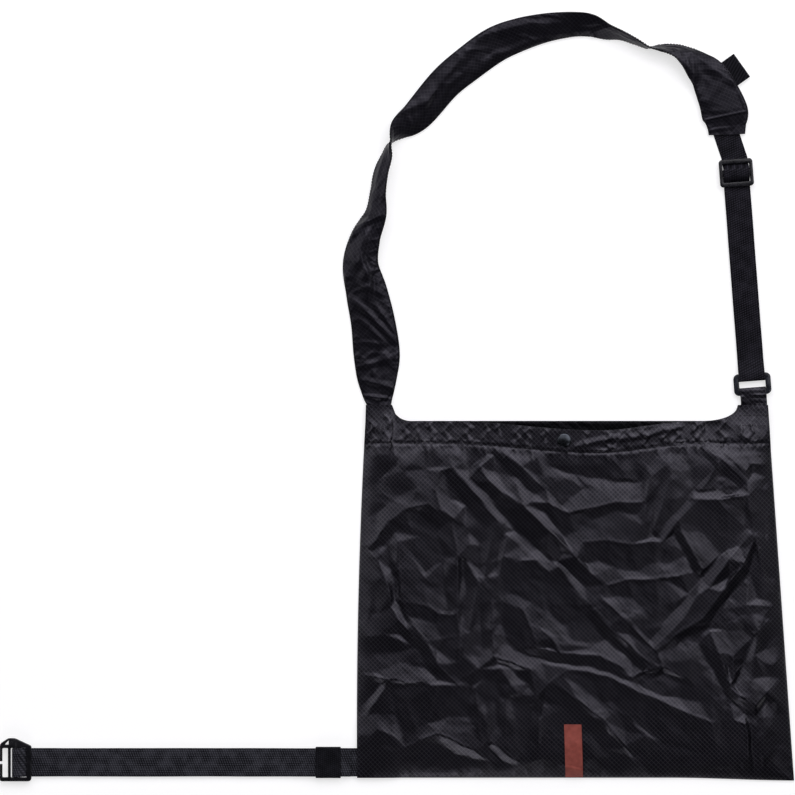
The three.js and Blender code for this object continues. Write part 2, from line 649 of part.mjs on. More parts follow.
// The cloth strap's sections, from the left horn over the top to the webbing. Across and up are shares of
// the way from its seam in the horn to the webbing's end, roll turns it about its own line in degrees,
// wide is a share of its width where it is gathered, and crown is how far its middle bulges, as a share.
const STRAP_SECTIONS = [
  { across: 0.000, up: 0.000, roll: 0, wide: 0.52, crown: 0, on: "back" },
  { across: 0.001, up: 0.036, roll: 0, wide: 0.52, crown: 0, on: "back" },
  { across: -0.002, up: 0.078, roll: 0, wide: 0.68, crown: 0.04, on: "floor" },
  { across: -0.005, up: 0.143, roll: 3, wide: 0.88, crown: 0.05, on: "floor" },
  { across: -0.006, up: 0.222, roll: 6, wide: 1.00, crown: 0.05, on: "floor" },
  { across: -0.016, up: 0.329, roll: 14, wide: 0.98, crown: 0.1, on: "floor" },
  { across: -0.034, up: 0.436, roll: 20, wide: 0.95, crown: 0.14, on: "floor" },
  { across: -0.052, up: 0.537, roll: 27, wide: 0.86, crown: 0.17, on: "floor" },
  { across: -0.039, up: 0.629, roll: 36, wide: 0.80, crown: 0.16, on: "floor" },
  { across: -0.009, up: 0.715, roll: 50, wide: 0.72, crown: 0.1, on: "floor" },
  { across: -0.002, up: 0.793, roll: 60, wide: 0.66, crown: 0.06, on: "floor" },
  { across: 0.007, up: 0.866, roll: 62, wide: 0.64, crown: 0.03, on: "floor" },
  { across: 0.022, up: 0.919, roll: 68, wide: 0.62, crown: 0, on: "floor" },
  { across: 0.031, up: 0.962, roll: 84, wide: 0.62, crown: 0, on: "floor" },
  { across: 0.060, up: 1.018, roll: 126, wide: 0.76, crown: -0.02, on: "floor" },
  { across: 0.113, up: 1.071, roll: 142, wide: 0.84, crown: -0.06, on: "floor" },
  { across: 0.189, up: 1.181, roll: 146, wide: 0.86, crown: -0.08, on: "floor" },
  { across: 0.256, up: 1.251, roll: 147, wide: 0.89, crown: -0.07, on: "floor" },
  { across: 0.332, up: 1.318, roll: 148, wide: 0.89, crown: -0.05, on: "floor" },
  { across: 0.404, up: 1.355, roll: 144, wide: 0.86, crown: -0.06, on: "floor" },
  { across: 0.482, up: 1.380, roll: 138, wide: 0.80, crown: -0.07, on: "floor" },
  { across: 0.558, up: 1.391, roll: 131, wide: 0.77, crown: -0.06, on: "floor" },
  { across: 0.607, up: 1.387, roll: 126, wide: 0.77, crown: -0.04, on: "floor" },
  { across: 0.651, up: 1.366, roll: 116, wide: 0.72, crown: -0.02, on: "floor" },
  { across: 0.695, up: 1.352, roll: 105, wide: 0.64, crown: 0, on: "floor" },
  { across: 0.735, up: 1.331, roll: 99, wide: 0.60, crown: 0, on: "floor" },
  { across: 0.774, up: 1.309, roll: 90, wide: 0.58, crown: 0, on: "floor" },
  { across: 0.809, up: 1.307, roll: 76, wide: 0.60, crown: 0, on: "floor" },
  { across: 0.852, up: 1.298, roll: 64, wide: 0.64, crown: 0.02, on: "floor" },
  { across: 0.885, up: 1.275, roll: 50, wide: 0.70, crown: 0.04, on: "tab" },
  { across: 0.917, up: 1.243, roll: 33, wide: 0.78, crown: 0.05, on: "tab" },
  { across: 0.950, up: 1.202, roll: 15, wide: 0.85, crown: 0.04, on: "tab" },
  { across: 0.979, up: 1.130, roll: 4, wide: 0.94, crown: 0.03, on: "tab" },
  { across: 0.995, up: 1.071, roll: 0, wide: 1.0, crown: 0.02, on: "tab" },
  { across: 0.999, up: 1.031, roll: 0, wide: 0.86, crown: 0, on: "webbing" },
  { across: 1.0, up: 1.0, roll: 0, wide: 0.65, crown: 0, on: "webbing" },
];
const LEVELS = { floor: 0, back: CLOTH + GAP, webbing: PLY, tab: 2 * PLY };
const STRAP_SUBSTEPS = 2;
const STRAP_CELLS = 4;

// A value between two rows of a table, smooth through them and their neighbours.
function smoothBetween(before, from, to, after, t) {
  const [a, b] = [(to - before) / 2, (after - from) / 2];
  const [t2, t3] = [t * t, t * t * t];
  return (2 * t3 - 3 * t2 + 1) * from + (t3 - 2 * t2 + t) * a + (3 * t2 - 2 * t3) * to + (t3 - t2) * b;
}

function strapStations(end) {
  const start = { x: leftSide(1) + LEFT_HORN_WIDTH / 2, y: HORN_TOP - SEAM_DEPTH + GAP };
  const rows = STRAP_SECTIONS.map((row) => ({ ...row, level: LEVELS[row.on] }));
  const pick = (i) => rows[Math.min(rows.length - 1, Math.max(0, i))];
  const stations = [];
  for (let i = 0; i < rows.length - 1; i++) {
    for (let k = 0; k < STRAP_SUBSTEPS; k++) {
      const t = k / STRAP_SUBSTEPS;
      const near = [pick(i - 1), pick(i), pick(i + 1), pick(i + 2)];
      const smooth = (key) => smoothBetween(...near.map((section) => section[key]), t);
      const plain = (key) => mix(pick(i)[key], pick(i + 1)[key], t);
      stations.push({
        x: mix(start.x, end.x, smooth("across")),
        y: start.y + (end.y - start.y) * smooth("up"),
        roll: plain("roll") * DEGREE,
        wide: plain("wide") * STRAP_WIDTH,
        crown: plain("crown") * STRAP_WIDTH,
        level: plain("level"),
      });
    }
  }
  const last = rows[rows.length - 1];
  stations.push({
    x: mix(start.x, end.x, last.across),
    y: start.y + (end.y - start.y) * last.up,
    roll: last.roll * DEGREE,
    wide: last.wide * STRAP_WIDTH,
    crown: last.crown * STRAP_WIDTH,
    level: last.level,
  });
  return stations;
}

// One section of the strap as a row of points on its upper and one on its lower face, resting at its level.
function strapSection(stations, i) {
  const here = stations[i];
  const before = stations[Math.max(0, i - 1)];
  const after = stations[Math.min(stations.length - 1, i + 1)];
  const along = new THREE.Vector2(after.x - before.x, after.y - before.y).normalize();
  const side = { x: along.y, y: -along.x };
  const rows = [1, -1].map((face) =>
    Array.from({ length: STRAP_CELLS + 1 }, (_, j) => {
      const s = (2 * j) / STRAP_CELLS - 1;
      const flat = (s * here.wide) / 2;
      const proud = here.crown * (1 - s * s) + (face * STRAP_CLOTH) / 2;
      const out = flat * Math.cos(here.roll) - proud * Math.sin(here.roll);
      const z = flat * Math.sin(here.roll) + proud * Math.cos(here.roll);
      return new THREE.Vector3(here.x + side.x * out, here.y + side.y * out, z);
    }),
  );
  const lowest = Math.min(...rows.flat().map((p) => p.z));
  rows.flat().forEach((p) => {
    p.z += here.level - lowest;
  });
  return rows;
}

function addShoulderStrap(end) {
  const stations = strapStations(end);
  const sections = stations.map((_, i) => strapSection(stations, i));
  const solid = solidBetween(
    sections.map((rows) => rows[0]),
    sections.map((rows) => rows[1]),
  );
  add("shoulder_strap", solid, MATERIALS.ripstop);
  return sections;
}

// A folded piece of webbing under the strap's outer edge, that the waist strap's hook takes. Its place is a
// share of the way along the strap's sections.
const TAB_PLACE = 0.894;
function addHookTab(sections) {
  const at = TAB_PLACE * (sections.length - 1);
  const [from, to] = [sections[Math.floor(at)][1][0], sections[Math.floor(at) + 1][1][0]];
  const edge = from.clone().lerp(to, at % 1);
  const along = to.clone().sub(from);
  const floor = WEBBING / 2;
  const path = tautPath([
    { x: -TAB_LAP, y: floor },
    { x: TAB_REACH - PLY / 2 - floor, y: floor + PLY / 2, r: PLY / 2, turn: 1 },
    { x: -TAB_LAP, y: floor + PLY },
  ]);
  const tab = add("hook_tab", band(path, WEBBING, WAIST_WEBBING_WIDTH), MATERIALS.webbing);
  tab.position.set(edge.x, edge.y, 0);
  tab.rotation.z = Math.atan2(along.y, along.x) + Math.PI / 2;
}

// The waist strap in its own frame: X runs left from the bag's side, on the surface.
const HOOK_BOTTOM = 2 * PLY;
const HOOK_TOP = HOOK_BOTTOM + HARDWARE;

function waistWebbingPath() {
  const inBag = CLOTH + GAP + WEBBING / 2;
  const floor = WEBBING / 2;
  const keeperEnd = KEEPER_START + KEEPER_LENGTH + 2 * GAP;
  const rampEnd = keeperEnd + KEEPER_RAMP;
  const barHalf = CENTRE_BAR / 2;
  const riser = barHalf + HOOK_RISER_SLOT;
  return tautPath([
    { x: WAIST_TAIL_START, y: inBag + PLY },
    { x: keeperEnd, y: inBag + PLY },
    { x: rampEnd, y: floor + PLY },
    { x: WAIST_RUN - riser - HOOK_END_BAR, y: floor + PLY },
    { x: WAIST_RUN - riser, y: HOOK_BOTTOM, r: WRAP, turn: 1 },
    { x: WAIST_RUN - barHalf, y: HOOK_TOP, r: WRAP, turn: -1 },
    { x: WAIST_RUN + barHalf, y: HOOK_TOP, r: WRAP, turn: -1 },
    { x: WAIST_RUN + barHalf, y: HOOK_BOTTOM, r: WRAP, turn: -1 },
    { x: WAIST_RUN - barHalf, y: HOOK_BOTTOM, r: WRAP, turn: -1 },
    { x: WAIST_RUN - riser, y: floor },
    { x: rampEnd, y: floor },
    { x: keeperEnd, y: inBag },
    { x: -SEAM_DEPTH, y: inBag },
  ]);
}

// The hook buckle lies in the waist strap's frame, centred on its centre bar, with X towards the hook.
function hookShape() {
  const barHalf = CENTRE_BAR / 2;
  const thread = barHalf + HOOK_THREAD_SLOT;
  const slot = thread + HOOK_BAR;
  const hook = slot + HOOK_SLOT;
  const [tip, end] = [hook + HOOK_BAR, -barHalf - HOOK_RISER_SLOT - HOOK_END_BAR];
  const [low, high] = [-WAIST_SLOT_HALF - HOOK_RIM, WAIST_SLOT_HALF + HOOK_RIM - HOOK_STEP];
  const ear = high + HOOK_EAR;
  const gate = HOOK_GATE / 2;
  const shape = new THREE.Shape();
  shape.moveTo(end + HOOK_CORNER, low);
  shape.lineTo(tip - HOOK_TIP_CORNER, low);
  shape.quadraticCurveTo(tip, low, tip, low + HOOK_TIP_CORNER);
  shape.lineTo(tip, -gate);
  shape.lineTo(hook, -gate);
  shape.lineTo(hook, HOOK_SLOT_CORNER - WAIST_SLOT_HALF);
  shape.quadraticCurveTo(hook, -WAIST_SLOT_HALF, hook - HOOK_SLOT_CORNER, -WAIST_SLOT_HALF);
  shape.lineTo(slot, -WAIST_SLOT_HALF);
  shape.lineTo(slot, WAIST_SLOT_HALF);
  shape.lineTo(hook - HOOK_SLOT_CORNER, WAIST_SLOT_HALF);
  shape.quadraticCurveTo(hook, WAIST_SLOT_HALF, hook, WAIST_SLOT_HALF - HOOK_SLOT_CORNER);
  shape.lineTo(hook, gate);
  shape.lineTo(tip, gate);
  shape.lineTo(tip, high - EAR_SLOPE);
  shape.quadraticCurveTo(tip, high + EAR_RISE / 2, tip - EAR_CORNER, high + EAR_RISE);
  shape.lineTo(slot + EAR_SLOPE, ear - EAR_SLOPE);
  shape.quadraticCurveTo(slot, ear, slot - EAR_CORNER, ear);
  shape.lineTo(slot - EAR_END, ear);
  shape.quadraticCurveTo(slot - EAR_END - EAR_CORNER, ear, slot - EAR_BACK, ear - EAR_SLOPE);
  shape.lineTo(end + HOOK_STEP, high + HOOK_STEP / 3);
  shape.quadraticCurveTo(end, high, end, high - HOOK_STEP);
  shape.lineTo(end, low + HOOK_CORNER);
  shape.quadraticCurveTo(end, low, end + HOOK_CORNER, low);
  const riser = -barHalf - HOOK_RISER_SLOT;
  shape.holes.push(roundedRectangle(barHalf, -WAIST_SLOT_HALF, thread, WAIST_SLOT_HALF, 0.6, THREE.Path));
  shape.holes.push(roundedRectangle(riser, -WAIST_SLOT_HALF, -barHalf, WAIST_SLOT_HALF, 0.8, THREE.Path));
  const eye = new THREE.Path();
  eye.moveTo(slot - 0.6, high + 1);
  eye.lineTo(slot + 2.6, high + 1);
  eye.lineTo(slot - 0.6, ear - 2.2);
  shape.holes.push(eye);
  return shape;
}

function keeperShape() {
  const [inner, outer] = [WAIST_SLOT_HALF, WAIST_SLOT_HALF + ELASTIC];
  const height = 2 * ELASTIC + 2 * PLY + GAP;
  const shape = roundedRectangle(-outer, 0, outer, height, 1.6);
  shape.holes.push(roundedRectangle(-inner, ELASTIC, inner, height - ELASTIC, 0.6, THREE.Path));
  return shape;
}

function addWaistStrap() {
  const strap = new THREE.Group();
  const middle = FOOT_Y + WAIST_MARGIN + WAIST_WEBBING_WIDTH / 2;
  strap.position.set(leftSide((middle - FOOT_Y) / BAG_HEIGHT), middle, 0);
  strap.rotation.z = Math.PI;
  musette.add(strap);
  const webbing = band(waistWebbingPath(), WEBBING, WAIST_WEBBING_WIDTH);
  add("waist_webbing", webbing, MATERIALS.webbing, strap);
  const hook = add("hook_buckle", moulded(hookShape()).scale(1, -1, 1), MATERIALS.nylon, strap);
  hook.position.set(WAIST_RUN, 0, HOOK_BOTTOM);
  turnedRound(hook.geometry);
  const settings = { depth: KEEPER_LENGTH, bevelEnabled: false, curveSegments: 3 };
  const keeper = new THREE.ExtrudeGeometry(keeperShape(), settings);
  keeper.rotateX(Math.PI / 2).rotateZ(Math.PI / 2);
  add("waist_keeper", keeper, MATERIALS.webbing, strap).position.x = KEEPER_START;
}

// Turns the faces of a mirrored geometry round, so that they point out again.
function turnedRound(geometry) {
  const at = geometry.getAttribute("position");
  const [b, c] = [new THREE.Vector3(), new THREE.Vector3()];
  for (let k = 0; k < at.count; k += 3) {
    b.fromBufferAttribute(at, k + 1);
    c.fromBufferAttribute(at, k + 2);
    at.setXYZ(k + 1, c.x, c.y, c.z);
    at.setXYZ(k + 2, b.x, b.y, b.z);
  }
  return geometry;
}

addPanels();
addFacings();
addSnap();
addLabel();
const strapEnd = addRightStrap();
addHookTab(addShoulderStrap(strapEnd));
addWaistStrap();

export default musette;
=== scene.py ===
"""A black ripstop cycling musette laid flat on a white table, seen from straight above.

Shapes are worked out in millimetres in the bag's own frame, and become metres when a mesh is made.
"""

import math

import bmesh
import bpy
import numpy as np
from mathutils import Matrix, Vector
from mathutils.geometry import delaunay_2d_cdt


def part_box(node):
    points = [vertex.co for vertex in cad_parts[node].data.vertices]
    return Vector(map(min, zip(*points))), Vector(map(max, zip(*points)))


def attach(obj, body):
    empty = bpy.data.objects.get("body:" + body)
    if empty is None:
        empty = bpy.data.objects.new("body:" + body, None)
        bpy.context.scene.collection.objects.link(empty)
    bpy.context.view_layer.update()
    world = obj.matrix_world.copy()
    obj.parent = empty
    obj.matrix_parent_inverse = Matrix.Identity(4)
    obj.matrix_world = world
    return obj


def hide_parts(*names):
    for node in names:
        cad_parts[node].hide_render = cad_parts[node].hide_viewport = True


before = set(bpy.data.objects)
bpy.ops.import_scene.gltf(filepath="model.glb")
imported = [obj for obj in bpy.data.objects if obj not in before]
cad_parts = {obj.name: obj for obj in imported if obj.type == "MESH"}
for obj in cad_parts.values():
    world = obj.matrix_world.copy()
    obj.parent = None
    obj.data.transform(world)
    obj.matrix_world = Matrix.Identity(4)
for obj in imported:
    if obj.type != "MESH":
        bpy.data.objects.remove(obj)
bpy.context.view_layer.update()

MM = 0.001

# The photograph: how many millimetres a pixel spans, and the pixel above the bag's origin
PIXEL = 0.9
ORIGIN_PIXEL = (571.25, 599.25)
PHOTO_PIXELS = 795

# The bag's outline
BAG_HEIGHT = 321.0
MOUTH_WIDTH = 363.0
FOOT_WIDTH = 393.0
LEAN = 7.5
LEFT_SIDE_BELLY = 2.6
RIGHT_CORNER_DROP = 2.5
HORN_HEIGHT = 14.4
LEFT_HORN_WIDTH = 24.0
RIGHT_HORN_WIDTH = 27.0
LEFT_HORN_SWEEP = 17.0
RIGHT_HORN_SWEEP = 32.0
HEM_WIDTH = 20.0
MOUTH_SAG = 8.5
FOOT_Y = -BAG_HEIGHT / 2
MOUTH_Y = BAG_HEIGHT / 2

# The bag's fullness, and the plies that its corners hold
PUFF = 11.0
EDGE_ROLL = 18.0
MOUTH_RISE = 12.0
MOUTH_BLEND = 45.0
CAD_CLOTH = 1.0
GAP = 0.3
PANEL_SEAT = CAD_CLOTH + GAP
SEAM_DEPTH = 10.0
SEAM_FADE = 26.0
LEFT_SEAM = 1.9
RIGHT_SEAM = 2.6
WAIST_SEAM = 1.5
WAIST_TOP = 26.6
FACING_INSET = 46.0

# The cloth itself
CLOTH = 0.7
LABEL_WIDTH = 15.7
LABEL_LENGTH = 50.0
LABEL_PLACE = 0.497
LABEL_CREASE = (563, 765), (585, 770)

# The mesh's own values: the angle in degrees from which an edge is sharp, and the inner plies' thickness
SHARP = 62
PLY = 0.5

# The sizes that the webbing was cut to: its width, and the length of the path that it takes
STRAP_WEBBING_CUT = 23.4, 442.6
WAIST_WEBBING_CUT = 25.4, 628.0
TAB_CUT = 25.4, 38.6
KEEPER_CUT = 22.5, 60.7
RING_LOOP_CUT = 23.4, 54.1

# Which way the webbing runs, in degrees
STRAP_WEBBING_WAY = -94.4
TAB_WAY = 48

SEED = 41


def mix(a, b, t):
    return a + (b - a) * t


def ease(t):
    t = np.clip(t, 0, 1)
    return t * t * (3 - 2 * t)


def from_photo(px, py):
    """The place on the table under a pixel of the photograph."""
    return (np.asarray(px) - ORIGIN_PIXEL[0]) * PIXEL, (ORIGIN_PIXEL[1] - np.asarray(py)) * PIXEL


def photo_line(start, end):
    return from_photo(*start), from_photo(*end)


# Meshes from points


def new_object(name, mesh):
    piece = bpy.data.objects.new(name, mesh)
    bpy.context.scene.collection.objects.link(piece)
    return piece


def mesh_piece(name, points, faces, uv=None, smooth=True):
    """A piece from points in millimetres. uv holds a pair for each point, in millimetres along the cloth."""
    mesh = bpy.data.meshes.new(name)
    mesh.from_pydata((np.asarray(points) * MM).tolist(), [], faces)
    if smooth:
        mesh.shade_smooth()
        mesh.set_sharp_from_angle(angle=math.radians(SHARP))
    if uv is not None:
        layer = mesh.uv_layers.new(name="Cloth")
        corner = np.zeros(len(mesh.loops), np.int32)
        mesh.loops.foreach_get("vertex_index", corner)
        layer.data.foreach_set("uv", (np.asarray(uv)[corner] * MM).astype(np.float32).ravel())
    return new_object(name, mesh)


def grid_faces(rows, columns):
    i, j = np.meshgrid(np.arange(rows - 1), np.arange(columns - 1), indexing="ij")
    corner = (i * columns + j).ravel()
    return np.stack([corner, corner + 1, corner + columns + 1, corner + columns], 1).tolist()


def ring_faces(rings, around):
    """Faces between rings of points, each of which closes on itself."""
    faces = []
    for i in range(rings - 1):
        for j in range(around):
            k = (j + 1) % around
            faces.append((i * around + j, i * around + k, (i + 1) * around + k, (i + 1) * around + j))
    return faces


def cloth_lengths(points):
    """How far each point of a grid is along the cloth, across and up, from the middle of the grid."""
    across = np.linalg.norm(np.diff(points, axis=1), axis=2)
    up = np.linalg.norm(np.diff(points, axis=0), axis=2)
    u = np.concatenate([np.zeros((points.shape[0], 1)), np.cumsum(across, 1)], 1)
    v = np.concatenate([np.zeros((1, points.shape[1])), np.cumsum(up, 0)], 0)
    return np.stack([u - u[:, [points.shape[1] // 2]], v], 2)


def grid_piece(name, points, uv=None):
    """A sheet from a grid of points, rows by columns."""
    if uv is None:
        uv = cloth_lengths(points)
    faces = grid_faces(*points.shape[:2])
    return mesh_piece(name, points.reshape(-1, 3), faces, uv.reshape(-1, 2))


def settle(piece):
    """Applies a piece's modifiers to its mesh."""
    depsgraph = bpy.context.evaluated_depsgraph_get()
    mesh = bpy.data.meshes.new_from_object(piece.evaluated_get(depsgraph))
    piece.modifiers.clear()
    mesh.set_sharp_from_angle(angle=math.radians(SHARP))
    piece.data = mesh
    return piece


def thicken(piece, thickness):
    """Gives a sheet its wall, half on each side."""
    wall = piece.modifiers.new("Wall", "SOLIDIFY")
    wall.thickness = thickness * MM
    wall.offset = 0
    wall.use_even_offset = False
    return settle(piece)


def refined(node, name, round_off=0.25, steps=2, sharp=38, cuts=()):
    """A copy of a node of the frame with its edges rounded.

    Cuts are planes, each a point and a normal, that add rows of points.
    """
    built = bmesh.new()
    built.from_mesh(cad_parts[node].data)
    bmesh.ops.remove_doubles(built, verts=built.verts, dist=1e-6)
    bmesh.ops.dissolve_limit(built, angle_limit=math.radians(0.5), verts=built.verts, edges=built.edges)
    edges = [e for e in built.edges if len(e.link_faces) == 2 and e.calc_face_angle(0) > math.radians(sharp)]
    bmesh.ops.bevel(built, geom=edges, offset=round_off * MM, segments=steps, affect="EDGES", profile=0.5)
    for point, normal in cuts:
        whole = built.verts[:] + built.edges[:] + built.faces[:]
        bmesh.ops.bisect_plane(built, geom=whole, dist=1e-7, plane_co=point, plane_no=normal)
    mesh = bpy.data.meshes.new(name)
    built.to_mesh(mesh)
    built.free()
    mesh.shade_smooth()
    mesh.set_sharp_from_angle(angle=math.radians(sharp))
    return new_object(name, mesh)


def mapped(piece):
    """Gives a piece the cloth's map, as seen from above."""
    layer = piece.data.uv_layers.new(name="Cloth")
    for corner, spot in zip(piece.data.loops, layer.data):
        spot.uv = piece.data.vertices[corner.vertex_index].co.xy
    return piece


def softened(node, name, way, step, rise, length, round_off=0.25):
    """A cloth or webbing copy of a node, cut into rows a step apart along its way in degrees, and rippled."""
    low, high = (np.array(corner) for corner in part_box(node))
    middle, reach = (low + high) / 2, np.linalg.norm(high - low) / 2
    along = Vector((math.cos(math.radians(way)), math.sin(math.radians(way)), 0))
    aside = Vector((-along.y, along.x, 0))
    cuts = []
    for line, gap in ((along, step * MM), (aside, 3 * MM)):
        for offset in np.arange(-reach, reach, gap):
            cuts.append((Vector(middle) + line * float(offset), line))
    piece = refined(node, name, round_off, 2, 38, cuts)
    random = np.random.default_rng(SEED + len(name))
    places = np.array([v.co for v in piece.data.vertices]) / MM
    shift = waver(places[:, 0], places[:, 1], random, rise, length)
    sideways = waver(places[:, 0], places[:, 1], random, rise * 0.7, length * 2)
    places[:, 2] += shift * np.clip(places[:, 2] / 2, 0, 1)
    places[:, 0] += sideways * aside.x
    places[:, 1] += sideways * aside.y
    piece.data.vertices.foreach_set("co", (places * MM).astype(np.float32).ravel())
    piece.data.update()
    return piece


# The bag's outline. High is 0 at the foot and 1 at the mouth, and across is 0 at the left side and 1 at the
# right.


def left_side(high):
    straight = mix(LEAN / 2 - FOOT_WIDTH / 2, -LEAN / 2 - MOUTH_WIDTH / 2, high)
    share = np.clip(high, 0, 1)
    return straight - LEFT_SIDE_BELLY * 4 * share * (1 - share)


def right_side(high):
    return mix(LEAN / 2 + FOOT_WIDTH / 2, -LEAN / 2 + MOUTH_WIDTH / 2, high)


def foot_edge(across):
    return FOOT_Y - RIGHT_CORNER_DROP * ease((across - 0.72) / 0.28)


def horn_rise(distance, width, sweep):
    t = np.clip((width + sweep - distance) / sweep, 0, 1)
    return HORN_HEIGHT * np.where(distance <= width, 1.0, 1 - np.sqrt(1 - t * t))


def mouth_edge(across):
    left = horn_rise(across * MOUTH_WIDTH, LEFT_HORN_WIDTH, LEFT_HORN_SWEEP)
    right = horn_rise((1 - across) * MOUTH_WIDTH, RIGHT_HORN_WIDTH, RIGHT_HORN_SWEEP)
    return MOUTH_Y + np.maximum(left, right)


def front_edge(across):
    """The front's mouth, which hangs lower than the back's."""
    rise = (across - 0.2) / 0.375
    fall = (0.82 - across) / 0.245
    return mouth_edge(across) - MOUTH_SAG * ease(np.minimum(rise, fall))


def hem_share(across):
    """How far up the front its hem's stitching is, level over the horns and hanging between them."""
    low = foot_edge(across)
    line = MOUTH_Y - HEM_WIDTH - (mouth_edge(across) - front_edge(across))
    return (line - low) / (front_edge(across) - low)


def bag_place(across, up, edge):
    y = mix(foot_edge(across), edge, up)
    high = (y - FOOT_Y) / BAG_HEIGHT
    return mix(left_side(high), right_side(high), across), y, high


# The front's folds, as polylines in the photograph: each point is a pixel x, y and how far the cloth stands
# off the bag's fullness there, in millimetres. Between them the cloth is flat, so ridges and valleys meet
# sharply.

